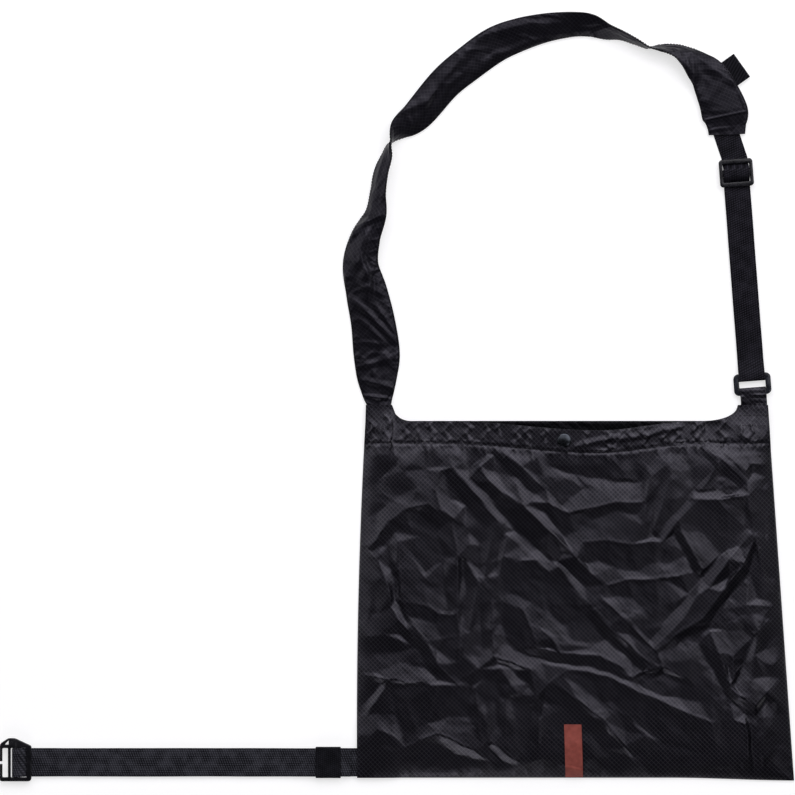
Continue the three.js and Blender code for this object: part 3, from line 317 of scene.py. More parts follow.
FOLDS = [
    # the upper left corner: a valley under the hem, and the broad hump below it
    [(366, 487, -1.0), (380, 480, -1.8), (395, 466, -1.8), (399, 455, -0.5)],
    [(364, 545, 1.5), (375, 541, 2.6), (389, 521, 3.4), (405, 509, 3.6), (428, 504, 3.2), (438, 511, 2.6)],
    [(372, 551, 0.2), (394, 532, -0.4), (420, 536, -0.6), (440, 528, -0.4), (449, 521, 0.8)],
    [(404, 470, 0.6), (418, 488, 1.4), (412, 500, 2.2)],
    [(412, 462, 1.4), (424, 470, -0.6), (438, 466, -0.4), (446, 455, 1.4)],
    # the oval beside the first dark stripe, and the stripe's two edges
    [(440, 471, 1.8), (435, 490, 2.4), (441, 510, 2.8), (454, 519, 3.4), (462, 507, 1.2)],
    [(452, 468, 2.8), (474, 492, 2.8), (497, 521, 2.0), (503, 533, 0.8)],
    [(444, 474, 0.2), (465, 505, -0.6), (484, 528, -0.2)],
    [(462, 463, 1.2), (470, 471, -0.6), (486, 453, -0.4)],
    [(470, 478, 0.8), (480, 466, 2.6), (491, 456, 2.4)],
    # the broad dark stripe from the upper left to the middle
    [(478, 466, 2.6), (491, 484, 4.2), (522, 505, 4.8), (548, 530, 4.8), (575, 556, 4.4), (592, 574, 3.0)],
    [(484, 492, 0.2), (499, 512, -0.9), (515, 530, -1.2), (535, 547, -1.2),
     (556, 562, -0.8), (583, 585, -0.4)],
    # the stripe from the hem to the bright hump
    [(500, 449, 2.6), (520, 466, 3.0), (545, 488, 2.0)],
    [(492, 455, 0.0), (512, 475, -0.4), (536, 495, 1.0)],
    [(520, 450, 0.2), (536, 458, 2.0), (543, 475, 1.0)],
    # the bright hump, and the waves under it
    [(548, 466, -0.8), (575, 475, -1.6), (610, 480, -1.9), (640, 481, -1.4)],
    [(528, 503, 3.2), (548, 502, 3.6), (570, 513, 3.8), (592, 507, 3.7), (615, 502, 3.4), (640, 502, 2.4)],
    [(556, 527, 1.0), (573, 531, 0.2), (592, 518, 0.4), (615, 511, 0.8), (637, 514, 0.8)],
    [(583, 541, 2.2), (607, 540, 2.8), (630, 544, 3.2), (652, 541, 2.8)],
    [(598, 560, -0.4), (614, 568, -0.6), (636, 571, -0.2), (655, 561, -0.2), (675, 547, 0.4)],
    [(606, 585, 1.4), (627, 579, 2.2), (655, 579, 2.6), (680, 575, 2.4)],
    # the leaf and the two dark slits right of the hump
    [(650, 477, 2.2), (645, 500, 2.8), (642, 525, 2.6), (646, 538, 1.2)],
    [(660, 480, 0.4), (653, 503, -0.2), (650, 529, -0.4)],
    [(669, 477, 2.6), (664, 498, 2.8), (656, 521, 2.4)],
    [(694, 502, 2.8), (677, 520, 3.0), (661, 541, 1.8)],
    [(686, 500, 0.4), (670, 517, -0.6), (655, 538, 0.0)],
    [(679, 530, 2.6), (690, 550, 3.0), (701, 569, 2.4)],
    [(673, 533, -0.4), (683, 553, -1.2), (694, 573, -0.4)],
    [(655, 455, 0.4), (668, 465, 1.6), (690, 470, -0.6), (700, 480, -0.4)],
    # the star and the spikes in the upper right corner
    [(692, 499, 2.6), (715, 499, 3.4), (745, 495, 3.6)],
    [(697, 492, 0.2), (716, 488, -0.2), (739, 487, 0.2)],
    [(717, 463, 2.8), (701, 490, 1.6)],
    [(709, 461, 0.2), (693, 489, 0.0)],
    [(708, 449, 2.8), (725, 462, 3.0), (745, 481, 2.4)],
    [(703, 454, 0.0), (719, 474, -0.8), (738, 489, 0.0)],
    [(722, 450, 1.4), (735, 462, 2.8), (745, 471, 3.0), (750, 463, 2.0), (768, 465, 2.4)],
    [(742, 452, 0.4), (752, 472, -0.4), (765, 478, 0.2)],
    # down the right side
    [(747, 495, 3.4), (752, 530, 2.8), (760, 565, 2.4), (774, 603, 2.4)],
    [(738, 545, 0.0), (748, 572, -0.8), (757, 598, -1.0)],
    [(764, 520, 0.4), (768, 548, 1.8), (772, 580, 0.2)],
    [(727, 608, 0.2), (745, 604, 1.8), (770, 606, 2.2)],
    # the raised blade from the right down to the pinch
    [(749, 534, 3.4), (728, 559, 4.2), (706, 587, 4.4), (695, 596, 4.2), (681, 620, 3.6), (653, 648, 2.8)],
    [(752, 541, 2.6), (743, 562, 3.8), (720, 591, 4.4), (701, 618, 3.8), (674, 634, 3.4), (655, 651, 2.8)],
    [(743, 528, -0.2), (720, 555, -1.4), (700, 577, -1.6), (688, 592, -1.4),
     (671, 612, -0.8), (648, 640, 0.2)],
    [(755, 552, -0.2), (748, 570, -1.0), (727, 599, -1.0), (706, 628, -0.6), (680, 641, -0.4)],
    # the bright strip, the dark wedge and the loop below it
    [(708, 630, 1.6), (717, 652, 3.2), (730, 686, 3.8)],
    [(697, 640, -0.6), (711, 668, -0.8), (724, 692, -0.6)],
    [(721, 603, 1.0), (724, 630, 0.6), (731, 655, 1.8), (733, 678, 2.6)],
    [(757, 630, 2.8), (753, 655, 3.2), (750, 678, 2.6)],
    [(752, 636, -0.6), (743, 664, -2.4), (734, 684, -0.4)],
    [(730, 686, 3.8), (742, 697, 3.8), (755, 704, 3.8), (766, 690, 3.4), (778, 702, 2.4)],
    [(728, 698, -0.6), (744, 712, -1.2), (756, 716, -1.0), (765, 701, -0.4), (775, 712, 0.2)],
    [(763, 716, 2.4), (762, 742, 2.6), (763, 768, 1.0)],
    [(748, 722, -0.8), (751, 744, -1.4), (753, 768, -0.4)],
    [(720, 722, -0.4), (733, 719, 1.6), (744, 723, 2.2), (748, 746, 1.6), (749, 768, 0.6)],
    [(762, 650, 0.0), (769, 664, 2.0), (764, 676, 0.4)],
    # the pinch
    [(630, 678, 1.4), (645, 669, 3.0), (660, 665, 3.6), (686, 678, 2.4)],
    [(637, 684, -0.8), (650, 677, -0.8), (664, 673, -0.6), (680, 683, 0.2)],
    [(600, 597, 2.0), (628, 621, 3.0), (655, 650, 3.6), (661, 665, 3.6)],
    [(588, 604, 1.6), (612, 630, 2.6), (640, 656, 3.2), (659, 667, 3.2)],
    [(583, 613, -1.0), (605, 639, -1.6), (632, 663, -1.4), (645, 671, -0.6)],
    [(676, 645, 0.8), (690, 657, 2.4), (697, 672, 0.6)],
    # the long crest over the dark lower right, and the fold that crosses it
    [(533, 646, 2.6), (560, 652, 2.8), (600, 655, 2.4), (622, 667, 2.0)],
    [(533, 655, -0.8), (552, 661, -0.8), (575, 664, -0.4), (605, 670, 0.4), (635, 684, 0.6), (658, 695, 1.2)],
    [(540, 662, 0.6), (570, 668, 1.8), (607, 675, 2.8), (632, 688, 3.2),
     (658, 699, 3.4), (690, 714, 3.0), (712, 722, 1.5)],
    [(600, 702, 0.2), (628, 716, 0.4), (660, 742, -1.0), (700, 752, -1.2)],
    [(556, 684, 2.4), (575, 697, 3.2), (602, 719, 3.2), (624, 745, 2.6), (643, 767, 1.0)],
    [(563, 706, 0.0), (588, 731, -0.8), (610, 756, -1.0), (621, 770, -0.4)],
    [(606, 748, -0.6), (650, 764, 0.2), (700, 766, 0.6), (740, 768, 0.2)],
    # the star at the left end of that crest
    [(462, 678, 2.2), (478, 668, 3.2), (493, 656, 3.8)],
    [(470, 686, 0.6), (485, 677, 1.2), (498, 667, 3.2)],
    [(493, 656, 3.8), (512, 662, 3.2), (529, 668, 3.2), (535, 695, 2.8)],
    [(497, 662, 1.0), (514, 670, -0.6), (528, 684, -0.2)],
    [(535, 695, 2.8), (548, 683, 3.0), (562, 672, 2.2)],
    [(498, 667, 3.2), (510, 683, 2.6), (520, 694, 1.4)],
    [(493, 697, -0.4), (510, 697, -0.8), (524, 703, -0.6), (545, 700, -0.6)],
    # the thin upright lines of the left half
    [(450, 520, 2.6), (457, 555, 3.0), (457, 610, 2.6)],
    [(457, 610, 2.6), (459, 635, 2.8), (458, 662, 2.6)],
    [(437, 532, -0.6), (444, 560, -1.2), (445, 590, -1.2), (449, 612, -0.4)],
    [(397, 541, 2.0), (398, 570, 2.6), (402, 602, 2.4)],
    [(387, 545, -0.4), (392, 570, -1.2), (396, 597, -1.2), (404, 618, -0.6)],
    [(366, 549, 2.0), (376, 557, 3.4), (385, 575, 3.8), (391, 599, 3.2)],
    [(363, 575, 0.4), (372, 590, -0.4), (378, 612, 0.2)],
    [(391, 606, 1.8), (399, 620, 3.2), (407, 629, 2.6)],
    [(404, 613, 0.8), (415, 602, 2.2), (428, 606, 2.4), (438, 613, 2.0), (457, 612, 2.6)],
    [(421, 618, 0.6), (436, 624, 0.2), (450, 617, 1.0)],
    [(413, 624, 2.6), (426, 641, 3.2), (437, 662, 3.2), (447, 674, 2.2)],
    [(398, 633, -0.4), (414, 647, -0.8), (427, 668, -0.6), (438, 679, 0.6)],
    [(466, 528, 0.4), (469, 545, 2.2), (466, 560, 1.0), (478, 582, 2.6),
     (475, 605, 2.4), (468, 632, 2.8), (462, 655, 3.0)],
    [(462, 560, -0.6), (466, 590, -0.8), (464, 615, -0.4)],
    [(480, 545, -0.8), (480, 568, -1.0)],
    [(492, 535, 1.8), (487, 558, 2.6), (486, 577, 1.6)],
    [(498, 541, -0.4), (494, 568, -0.6)],
    [(508, 536, 2.2), (503, 556, 2.4), (499, 575, 1.4)],
    [(513, 571, 1.4), (520, 560, 2.6), (535, 560, 2.8), (549, 571, 2.0)],
    [(545, 549, 2.6), (558, 566, 3.0), (573, 586, 2.2)],
    [(491, 600, 2.0), (491, 620, 2.8), (493, 656, 3.8)],
    [(480, 615, -0.6), (483, 640, -0.8), (481, 656, 0.4)],
    [(500, 615, 0.2), (506, 640, -0.8), (515, 650, 0.2)],
    [(522, 608, 2.4), (529, 624, 2.6), (535, 641, 3.2), (541, 629, 3.2), (550, 636, 3.2), (560, 652, 2.8)],
    [(548, 612, 0.4), (562, 625, -0.4), (573, 640, 0.6)],
    # the left edge's band and notch
    [(362, 637, 1.8), (385, 633, 1.2), (400, 640, 1.6)],
    [(362, 652, -1.2), (390, 652, -1.4), (420, 650, -0.8)],
    [(362, 673, 1.6), (388, 679, 3.2), (430, 684, 3.4), (460, 684, 2.8)],
    [(361, 710, -1.6), (371, 695, -2.4), (380, 683, -0.6)],
    [(367, 714, 1.6), (378, 697, 2.4), (385, 688, 2.2)],
    [(392, 690, 0.4), (396, 712, -1.2), (402, 730, -0.4)],
    [(410, 716, 0.8), (428, 722, -0.6), (448, 716, -0.4), (468, 716, -1.0)],
    [(474, 688, 2.4), (477, 708, 2.4), (478, 728, 1.4)],
    [(469, 690, -0.2), (471, 722, -0.8)],
    [(506, 692, 2.2), (505, 715, 2.4), (503, 736, 1.4)],
    [(499, 694, -0.6), (497, 724, -0.8)],
    [(537, 697, 2.6), (538, 720, 2.4), (538, 745, 1.4)],
    [(530, 707, -0.8), (530, 738, -0.8)],
    [(484, 702, 0.0), (488, 722, 1.8), (487, 738, 0.4)],
    # the foot
    [(366, 742, 0.6), (378, 728, 2.6), (393, 735, 3.0), (405, 745, 1.4)],
    [(363, 752, -0.6), (372, 743, 0.2), (384, 748, 1.0)],
    [(400, 747, 2.0), (420, 740, 3.0), (437, 732, 4.0), (453, 739, 3.8), (472, 749, 3.6), (484, 756, 1.8)],
    [(412, 757, 0.6), (424, 750, 0.2), (440, 743, -0.8), (457, 754, -1.0), (472, 758, -0.4)],
    [(470, 725, 0.2), (482, 744, 2.2), (490, 760, 1.2)],
    [(492, 741, 2.8), (505, 752, 3.0), (518, 761, 1.8)],
    [(487, 746, 0.0), (499, 757, -0.6), (512, 765, 0.0)],
    [(517, 767, 1.2), (542, 757, 2.6), (553, 763, 1.6)],
    [(583, 741, 0.2), (594, 756, 1.8), (599, 769, 0.6)],
]

# How much of the fine crumpling each stretch has: pixel x, y, radius, and a share taken away
CALM = [
    (675, 735, 75, 0.85),
    (700, 690, 40, 0.5),
    (590, 500, 45, 0.5),
    (710, 540, 38, 0.55),
    (405, 590, 34, 0.5),
    (400, 690, 38, 0.5),
    (560, 620, 30, 0.3),
    (650, 590, 34, 0.55),
]


def crease_height(x, y, ends, rise, left, right, taper=0.3):
    """A crease with straight flanks, its crest sharp and its ends low."""
    (ax, ay), (bx, by) = ends
    length = math.hypot(bx - ax, by - ay)
    tx, ty = (bx - ax) / length, (by - ay) / length
    along = (x - ax) * tx + (y - ay) * ty
    beside = (y - ay) * tx - (x - ax) * ty
    flank = np.where(beside > 0, left, right)
    past = np.maximum(0, np.maximum(-along, along - length))
    roof = np.clip(1 - np.hypot(beside, past) / flank, 0, 1)
    ends_low = mix(0.55, 1, ease(np.minimum(along, length - along) / (taper * length) + 0.2))
    return rise * roof * ends_low


def waver(x, y, random, reach, wavelength):
    """A soft sideways shift that keeps a crease from being ruler straight."""
    shift = np.zeros_like(x)
    for k in range(5):
        turn = random.uniform(0, 2 * math.pi)
        step = 2 * math.pi / (wavelength * random.uniform(0.6, 1.7))
        shift += np.sin((x * math.cos(turn) + y * math.sin(turn)) * step + random.uniform(0, 6.28))
    return shift * reach / 2.2


def fold_net():
    """The corners, heights and triangles of the front's facets: the folds' own, and random ones between."""
    random = np.random.default_rng(SEED)
    corners, heights, lines = [], [], []
    for fold in FOLDS:
        for k, (px, py, height) in enumerate(fold):
            x, y = from_photo(px, py)
            if k:
                lines.append((len(corners) - 1, len(corners)))
            corners.append((float(x), float(y)))
            heights.append(height)
    taken = np.array(corners)
    steps_x = np.arange(-FOOT_WIDTH / 2 - 20, FOOT_WIDTH / 2 + 30, 15.0)
    steps_y = np.arange(FOOT_Y - 20, MOUTH_Y + 40, 15.0)
    for gx in steps_x:
        for gy in steps_y:
            x, y = gx + random.uniform(-6, 6), gy + random.uniform(-6, 6)
            if np.hypot(taken[:, 0] - x, taken[:, 1] - y).min() > 10:
                corners.append((x, y))
                heights.append(random.uniform(-0.7, 1.1))
    given = np.array(corners)
    heights = np.array(heights)
    places, _, triangles, origins, *_ = delaunay_2d_cdt([Vector(c) for c in corners], lines, [], 0, 1e-5)
    net_heights = []
    for place, origin in zip(places, origins):
        if origin:
            net_heights.append(max(heights[k] for k in origin))
        else:
            away = np.hypot(given[:, 0] - place.x, given[:, 1] - place.y)
            near = np.argsort(away)[:3]
            net_heights.append(np.average(heights[near], weights=1 / away[near]))
    return np.array([tuple(place) for place in places]), np.array(net_heights), triangles


def on_net(x, y, place, heights, triangles):
    """The height at x, y of a net of flat triangles."""
    flat_x, flat_y = x.ravel(), y.ravel()
    height = np.zeros_like(flat_x)
    order = np.argsort(flat_x)
    sorted_x = flat_x[order]
    for a, b, d in triangles:
        (ax, ay), (bx, by), (dx, dy) = place[a], place[b], place[d]
        near = order[np.searchsorted(sorted_x, min(ax, bx, dx)) : np.searchsorted(sorted_x, max(ax, bx, dx))]
        near = near[(flat_y[near] >= min(ay, by, dy)) & (flat_y[near] <= max(ay, by, dy))]
        area = (by - dy) * (ax - dx) + (dx - bx) * (ay - dy)
        if not near.size or abs(area) < 1e-9:
            continue
        u = ((by - dy) * (flat_x[near] - dx) + (dx - bx) * (flat_y[near] - dy)) / area
        v = ((dy - ay) * (flat_x[near] - dx) + (ax - dx) * (flat_y[near] - dy)) / area
        inside = (u >= -1e-9) & (v >= -1e-9) & (u + v <= 1 + 1e-9)
        u, v = u[inside], v[inside]
        height[near[inside]] = u * heights[a] + v * heights[b] + (1 - u - v) * heights[d]
    return height.reshape(x.shape)


FOLD_NET = fold_net()
FOLD_RELIEF = 0.92


def main_folds(x, y):
    random = np.random.default_rng(SEED)
    bent_x = x + waver(x, y, random, 0.6, 22)
    bent_y = y + waver(x, y, random, 0.6, 22)
    return on_net(bent_x, bent_y, *FOLD_NET)


def add_crease(height, x, y, ends, rise, near, far):
    """Adds a crease to height, worked out only for the points around it."""
    (ax, ay), (bx, by) = ends
    reach = max(near, far)
    inside = (x > min(ax, bx) - reach) & (x < max(ax, bx) + reach)
    inside &= (y > min(ay, by) - reach) & (y < max(ay, by) + reach)
    if inside.any():
        height[inside] += crease_height(x[inside], y[inside], ends, rise, near, far)


PINCH = 0.42
PINCH_FLANK = 1.9


def pinches(x, y):
    """The thin lip where cloth is pinched along the top of a fold."""
    height = np.zeros_like(x)
    for fold in FOLDS:
        for (x0, y0, h0), (x1, y1, h1) in zip(fold, fold[1:]):
            if h0 + h1 > 3.2:
                ends = photo_line((x0, y0), (x1, y1))
                add_crease(height, x, y, ends, PINCH, PINCH_FLANK, PINCH_FLANK)
    return height


def crumple(x, y, seed, count, region, length, rise, flank):
    """Many short creases at random, as in cloth that has been stuffed in a pocket."""
    random = np.random.default_rng(seed)
    height = np.zeros_like(x)
    for _ in range(count):
        ax = random.uniform(region[0], region[1])
        ay = random.uniform(region[2], region[3])
        turn = random.uniform(0, 2 * math.pi)
        reach = random.uniform(*length)
        ends = (ax, ay), (ax + reach * math.cos(turn), ay + reach * math.sin(turn))
        up = random.uniform(*rise) * random.choice([-0.6, 1])
        add_crease(height, x, y, ends, up, *random.uniform(*flank, 2))
    return height


def facets(x, y, seed, spacing, rise, turn, stretch):
    """Flat facets that meet in sharp ridges and valleys, longer along the turn in degrees than across it."""
    random = np.random.default_rng(seed)
    c, s = math.cos(math.radians(turn)), math.sin(math.radians(turn))
    steps = np.arange(-300.0, 300.0, spacing)
    px, py = np.meshgrid(steps, steps)
    px = (px + random.uniform(-0.48, 0.48, px.shape) * spacing).ravel()
    py = (py + random.uniform(-0.48, 0.48, py.shape) * spacing).ravel()
    heights = random.uniform(-rise, rise, px.size)
    corners, _, triangles, *_ = delaunay_2d_cdt([Vector(p) for p in zip(px, py)], [], [], 0, 1e-6)
    place = np.array([tuple(corner) for corner in corners])
    return on_net((x * c + y * s) / stretch, (y * c - x * s) * stretch, place, heights, triangles)


def calm_share(x, y):
    share = np.ones_like(x)
    for px, py, radius, less in CALM:
        cx, cy = from_photo(px, py)
        away = np.hypot(x - cx, y - cy) / (radius * PIXEL)
        share *= 1 - less * ease(1.3 - away)
    return share


def hem_puckers(across, below_line, width):
    """The gathers that the hem's stitching draws up, above and below its line."""
    random = np.random.default_rng(SEED + 5)
    x = across * width
    height = np.zeros_like(x)
    for _ in range(230):
        at = random.uniform(4, width - 4)
        lean = random.uniform(-0.8, 0.8)
        half = random.uniform(1.2, 3.0)
        rise = random.uniform(0.5, 1.7) * random.choice([-0.5, 1])
        reach = random.uniform(4, 9) if random.random() < 0.75 else random.uniform(9, 20)
        side = random.choice([-1, 1, 1])
        rise *= 0.5 if side < 0 else 0.85
        beside = np.abs(x - at - lean * below_line) / half
        along = np.clip(1 - side * below_line / reach, 0, 1) * (side * below_line > -2.5)
        height += rise * np.clip(1 - beside, 0, 1) * ease(along) * ease(np.abs(below_line) / 2.2 + 0.15)
    return height - 1.1 * np.exp(-((below_line / 1.2) ** 2))


# A crest that runs along the hem, right of the snap
HEM_CREST = [(574, 447), (590, 443), (606, 439), (628, 438), (648, 435), (664, 430), (680, 427)]


def hem_crest(x, y):
    height = np.zeros_like(x)
    for start, end in zip(HEM_CREST, HEM_CREST[1:]):
        crest = crease_height(x, y, photo_line(start, end), 1.5, 4.5, 3.0, 0.02)
        height = np.maximum(height, crest)
    return height


def hem_zigzags(x, below_line):
    """The sharp zigzag creases that climb the hem from its stitching to the mouth's edge."""
    random = np.random.default_rng(SEED + 6)
    height = np.zeros_like(x)
    at = -FOOT_WIDTH / 2
    while at < FOOT_WIDTH / 2:
        at += random.uniform(8, 19)
        place, level = at, 1.0
        way = random.choice([-1, 1])
        for _ in range(4):
            beyond = place + way * random.uniform(2, 7), level - random.uniform(4, 7)
            rise, near, far = random.uniform(0.8, 1.4), *random.uniform(1.4, 2.8, 2)
            height += crease_height(x, below_line, ((place, level), beyond), rise, near, far, 0.1)
            (place, level), way = beyond, -way
    return height


# The front panel


def seam_lift(height, outside):
    return height * (1 - ease((outside - 7.5) / SEAM_FADE))


def seam_lifts(y, from_left, from_right):
    below_horn = np.maximum(0, MOUTH_Y + HORN_HEIGHT - SEAM_DEPTH - y)
    left = np.hypot(below_horn, np.maximum(0, from_left - LEFT_HORN_WIDTH))
    right = np.hypot(below_horn, np.maximum(0, from_right - RIGHT_HORN_WIDTH))
    above_waist = np.maximum(0, y - FOOT_Y - WAIST_TOP)
    waist = np.hypot(above_waist, np.maximum(0, from_left - SEAM_DEPTH))
    lifts = seam_lift(LEFT_SEAM, left), seam_lift(RIGHT_SEAM, right), seam_lift(WAIST_SEAM, waist)
    return np.maximum(np.maximum(lifts[0], lifts[1]), lifts[2])


def mouth_arch(across):
    span = MOUTH_WIDTH - LEFT_HORN_WIDTH - RIGHT_HORN_WIDTH
    share = np.clip((across * MOUTH_WIDTH - LEFT_HORN_WIDTH) / span, 0, 1)
    return MOUTH_RISE * np.sin(math.pi * share) ** 0.7 * ease(share / 0.07)


snap_low, snap_high = (np.array(corner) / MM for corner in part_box("snap_cap"))
SNAP = (snap_low + snap_high) / 2
SNAP_SEAT = snap_low[2] - GAP - CLOTH / 2
BACK_HEM_LINE = 1 - HEM_WIDTH / BAG_HEIGHT


def front_surface(across, up):
    """The middle of the front panel's cloth at shares across and up, as points."""
    across, up = np.broadcast_arrays(np.asarray(across, float), np.asarray(up, float))
    edge = front_edge(across)
    x, y, high = bag_place(across, up, edge)
    from_left = np.maximum(0, x - left_side(high))
    from_right = np.maximum(0, right_side(high) - x)
    from_foot = np.maximum(0, y - foot_edge(across))
    pillow = np.ones_like(x)
    for distance in (from_left, from_right, from_foot):
        pillow = pillow * (1 - np.exp(-distance / EDGE_ROLL))
    below_edge = edge - y
    loose = mix(mouth_arch(across), PUFF * pillow, ease(below_edge / MOUTH_BLEND))
    near_side = np.minimum(np.minimum(from_left, from_right), from_foot)
    region = (-FOOT_WIDTH / 2, FOOT_WIDTH / 2, FOOT_Y, MOUTH_Y)
    fine = crumple(x, y, SEED + 1, 90, region, (12, 34), (0.2, 0.55), (3, 9))
    fine += crumple(x, y, SEED + 2, 420, region, (6, 20), (0.1, 0.36), (2, 5))
    random = np.random.default_rng(SEED + 3)
    bent_x = x + waver(x, y, random, 2.5, 40)
    bent_y = y + waver(x, y, random, 2.5, 40)
    fine += facets(bent_x, bent_y, SEED + 7, 15, 0.3, -60, 1.15)
    folds = (main_folds(x, y) + pinches(x, y)) * FOLD_RELIEF + fine * calm_share(x, y)
    below_line = (hem_share(across) - up) * (edge - foot_edge(across))
    folds = folds * ease((below_line + 1) / 13) * ease((near_side + 2) / 22)
    in_hem = ease((3 - below_line) / 4) * ease((edge - y) / 3) * ease(near_side / 6)
    hem_facets = facets(bent_x, bent_y, SEED + 9, 20, 0.5, -30, 1.2)
    folds += (hem_facets + hem_zigzags(x, below_line) + hem_crest(x, y)) * in_hem
    folds += hem_puckers(across, below_line, MOUTH_WIDTH) * ease(near_side / 6)
    lifts = seam_lifts(y, from_left, from_right)
    height = PANEL_SEAT + CAD_CLOTH / 2 + np.maximum(loose + folds, -0.2) + lifts
    height -= 0.75 * np.exp(-near_side / 2.2) * ease(1 - lifts / 0.5)
    away = np.hypot(x - SNAP[0], y - SNAP[1])
    height = mix(SNAP_SEAT, height, ease((away - 6.5) / 7))
    return np.stack([x, y, height], -1)


FRONT_ROWS = 89
FRONT_COLUMNS = 107
FINER = 3


def front_panel():
    """The front's outer face is made of finer cells than its inner face, FINER of them to one."""
    across = np.linspace(0, 1, FRONT_COLUMNS * FINER + 1)[None, :]
    up = np.linspace(0, 1, FRONT_ROWS * FINER + 1)[:, None]
    outer = front_surface(across, up)
    inner = outer[::FINER, ::FINER].copy()
    outer[..., 2] += CLOTH / 2
    inner[..., 2] -= CLOTH / 2
    faces = grid_faces(*outer.shape[:2])
    start = outer.shape[0] * outer.shape[1]
    numbers = np.arange(start).reshape(outer.shape[:2])
    inner_numbers = start + np.arange(inner.shape[0] * inner.shape[1]).reshape(inner.shape[:2])
    faces += [tuple(start + k for k in reversed(face)) for face in grid_faces(*inner.shape[:2])]
    rims = (
        (numbers[0], inner_numbers[0], 1),
        (numbers[-1], inner_numbers[-1], -1),
        (numbers[:, 0], inner_numbers[:, 0], -1),
        (numbers[:, -1], inner_numbers[:, -1], 1),
    )
    for fine, coarse, way in rims:
        for k in range(len(coarse) - 1):
            edge = [int(v) for v in fine[k * FINER : (k + 1) * FINER + 1]]
            face = edge[::-1] + [int(coarse[k]), int(coarse[k + 1])]
            faces.append(tuple(face[::way]))
    flat = np.stack([outer[..., 0], outer[..., 1] - FOOT_Y], 2)
    uv = mix(flat, cloth_lengths(outer), 0.2)
    points = np.concatenate([outer.reshape(-1, 3), inner.reshape(-1, 3)])
    both = np.concatenate([uv.reshape(-1, 2), uv[::FINER, ::FINER].reshape(-1, 2)])
    return mesh_piece("front_cloth", points, faces, both)


def front_hem():
    """The hem's inner ply, which comes up to the mouth's edge."""
    inset = FACING_INSET / MOUTH_WIDTH
    across = np.linspace(inset, 1 - inset, 150)[None, :]
    up = mix(hem_share(across), 1, np.linspace(0, 1, 16)[:, None])
    points = front_surface(across, up)
    depth = np.full((16, 1), 1.15)
    depth[-1] = 0.5
    depth[0] = 0.8
    points[..., 2] -= depth
    return thicken(grid_piece("front_hem_cloth", points), PLY)


# The back panel and its hem


def back_surface(across, up):
    across, up = np.broadcast_arrays(np.asarray(across, float), np.asarray(up, float))
    x, y, high = bag_place(across, up, mouth_edge(across))
    near = np.minimum(x - left_side(high), right_side(high) - x)
    near = np.minimum(np.minimum(near, y - foot_edge(across)), mouth_edge(across) - y)
    region = (-FOOT_WIDTH / 2, FOOT_WIDTH / 2, FOOT_Y, MOUTH_Y + HORN_HEIGHT)
    waves = crumple(x, y, SEED + 11, 130, region, (20, 70), (0.1, 0.45), (6, 18))
    height = 0.42 + np.clip(np.abs(waves), 0, 0.5) * ease(near / 14) + 0.25 * np.exp(-near / 1.6)
    return np.stack([x, y, height], -1)


def back_panel():
    across = np.linspace(0, 1, 190)[None, :]
    up = np.linspace(0, 1, 160)[:, None]
    return thicken(grid_piece("back_cloth", back_surface(across, up)), CLOTH)


def back_hem():
    inset = FACING_INSET / MOUTH_WIDTH
    across = np.linspace(inset, 1 - inset, 150)[None, :]
    up = np.linspace(BACK_HEM_LINE, 1, 14)[:, None]
    points = back_surface(across, up)
    random = np.random.default_rng(SEED + 13)
    ripple = waver(points[..., 0], points[..., 1], random, 0.22, 9)
    lift = np.full_like(up, 1.35)
    lift[-1] = 0.75
    points[..., 2] += lift + np.clip(ripple, -0.25, 0.25)
    return thicken(grid_piece("back_hem_cloth", points), PLY)


# The label


def label():
    half = LABEL_WIDTH / FOOT_WIDTH / 2
    across = np.linspace(LABEL_PLACE - half, LABEL_PLACE + half, 17)[None, :]
    up = np.linspace(0.002, LABEL_LENGTH / BAG_HEIGHT, 60)[:, None]
    points = front_surface(across, up)
    for _ in range(6):
        points[1:-1, :, 2] = (points[:-2, :, 2] + 2 * points[1:-1, :, 2] + points[2:, :, 2]) / 4
    highest = front_surface(across, up)[..., 2]
    points[..., 2] = np.maximum(points[..., 2], highest) + CLOTH / 2 + 0.45
    crease = photo_line(*LABEL_CREASE)
    points[..., 2] += crease_height(points[..., 0], points[..., 1], crease, 0.8, 1.4, 6.0, 0.02)
    return thicken(grid_piece("label_tape", points), PLY)


# The shoulder strap. Across and up are shares of the way from its seam in the left horn to its other end,
# roll turns it about its own line in degrees, wide is a share of its width where it is gathered, and crown
# is how far its middle bulges, as a share.

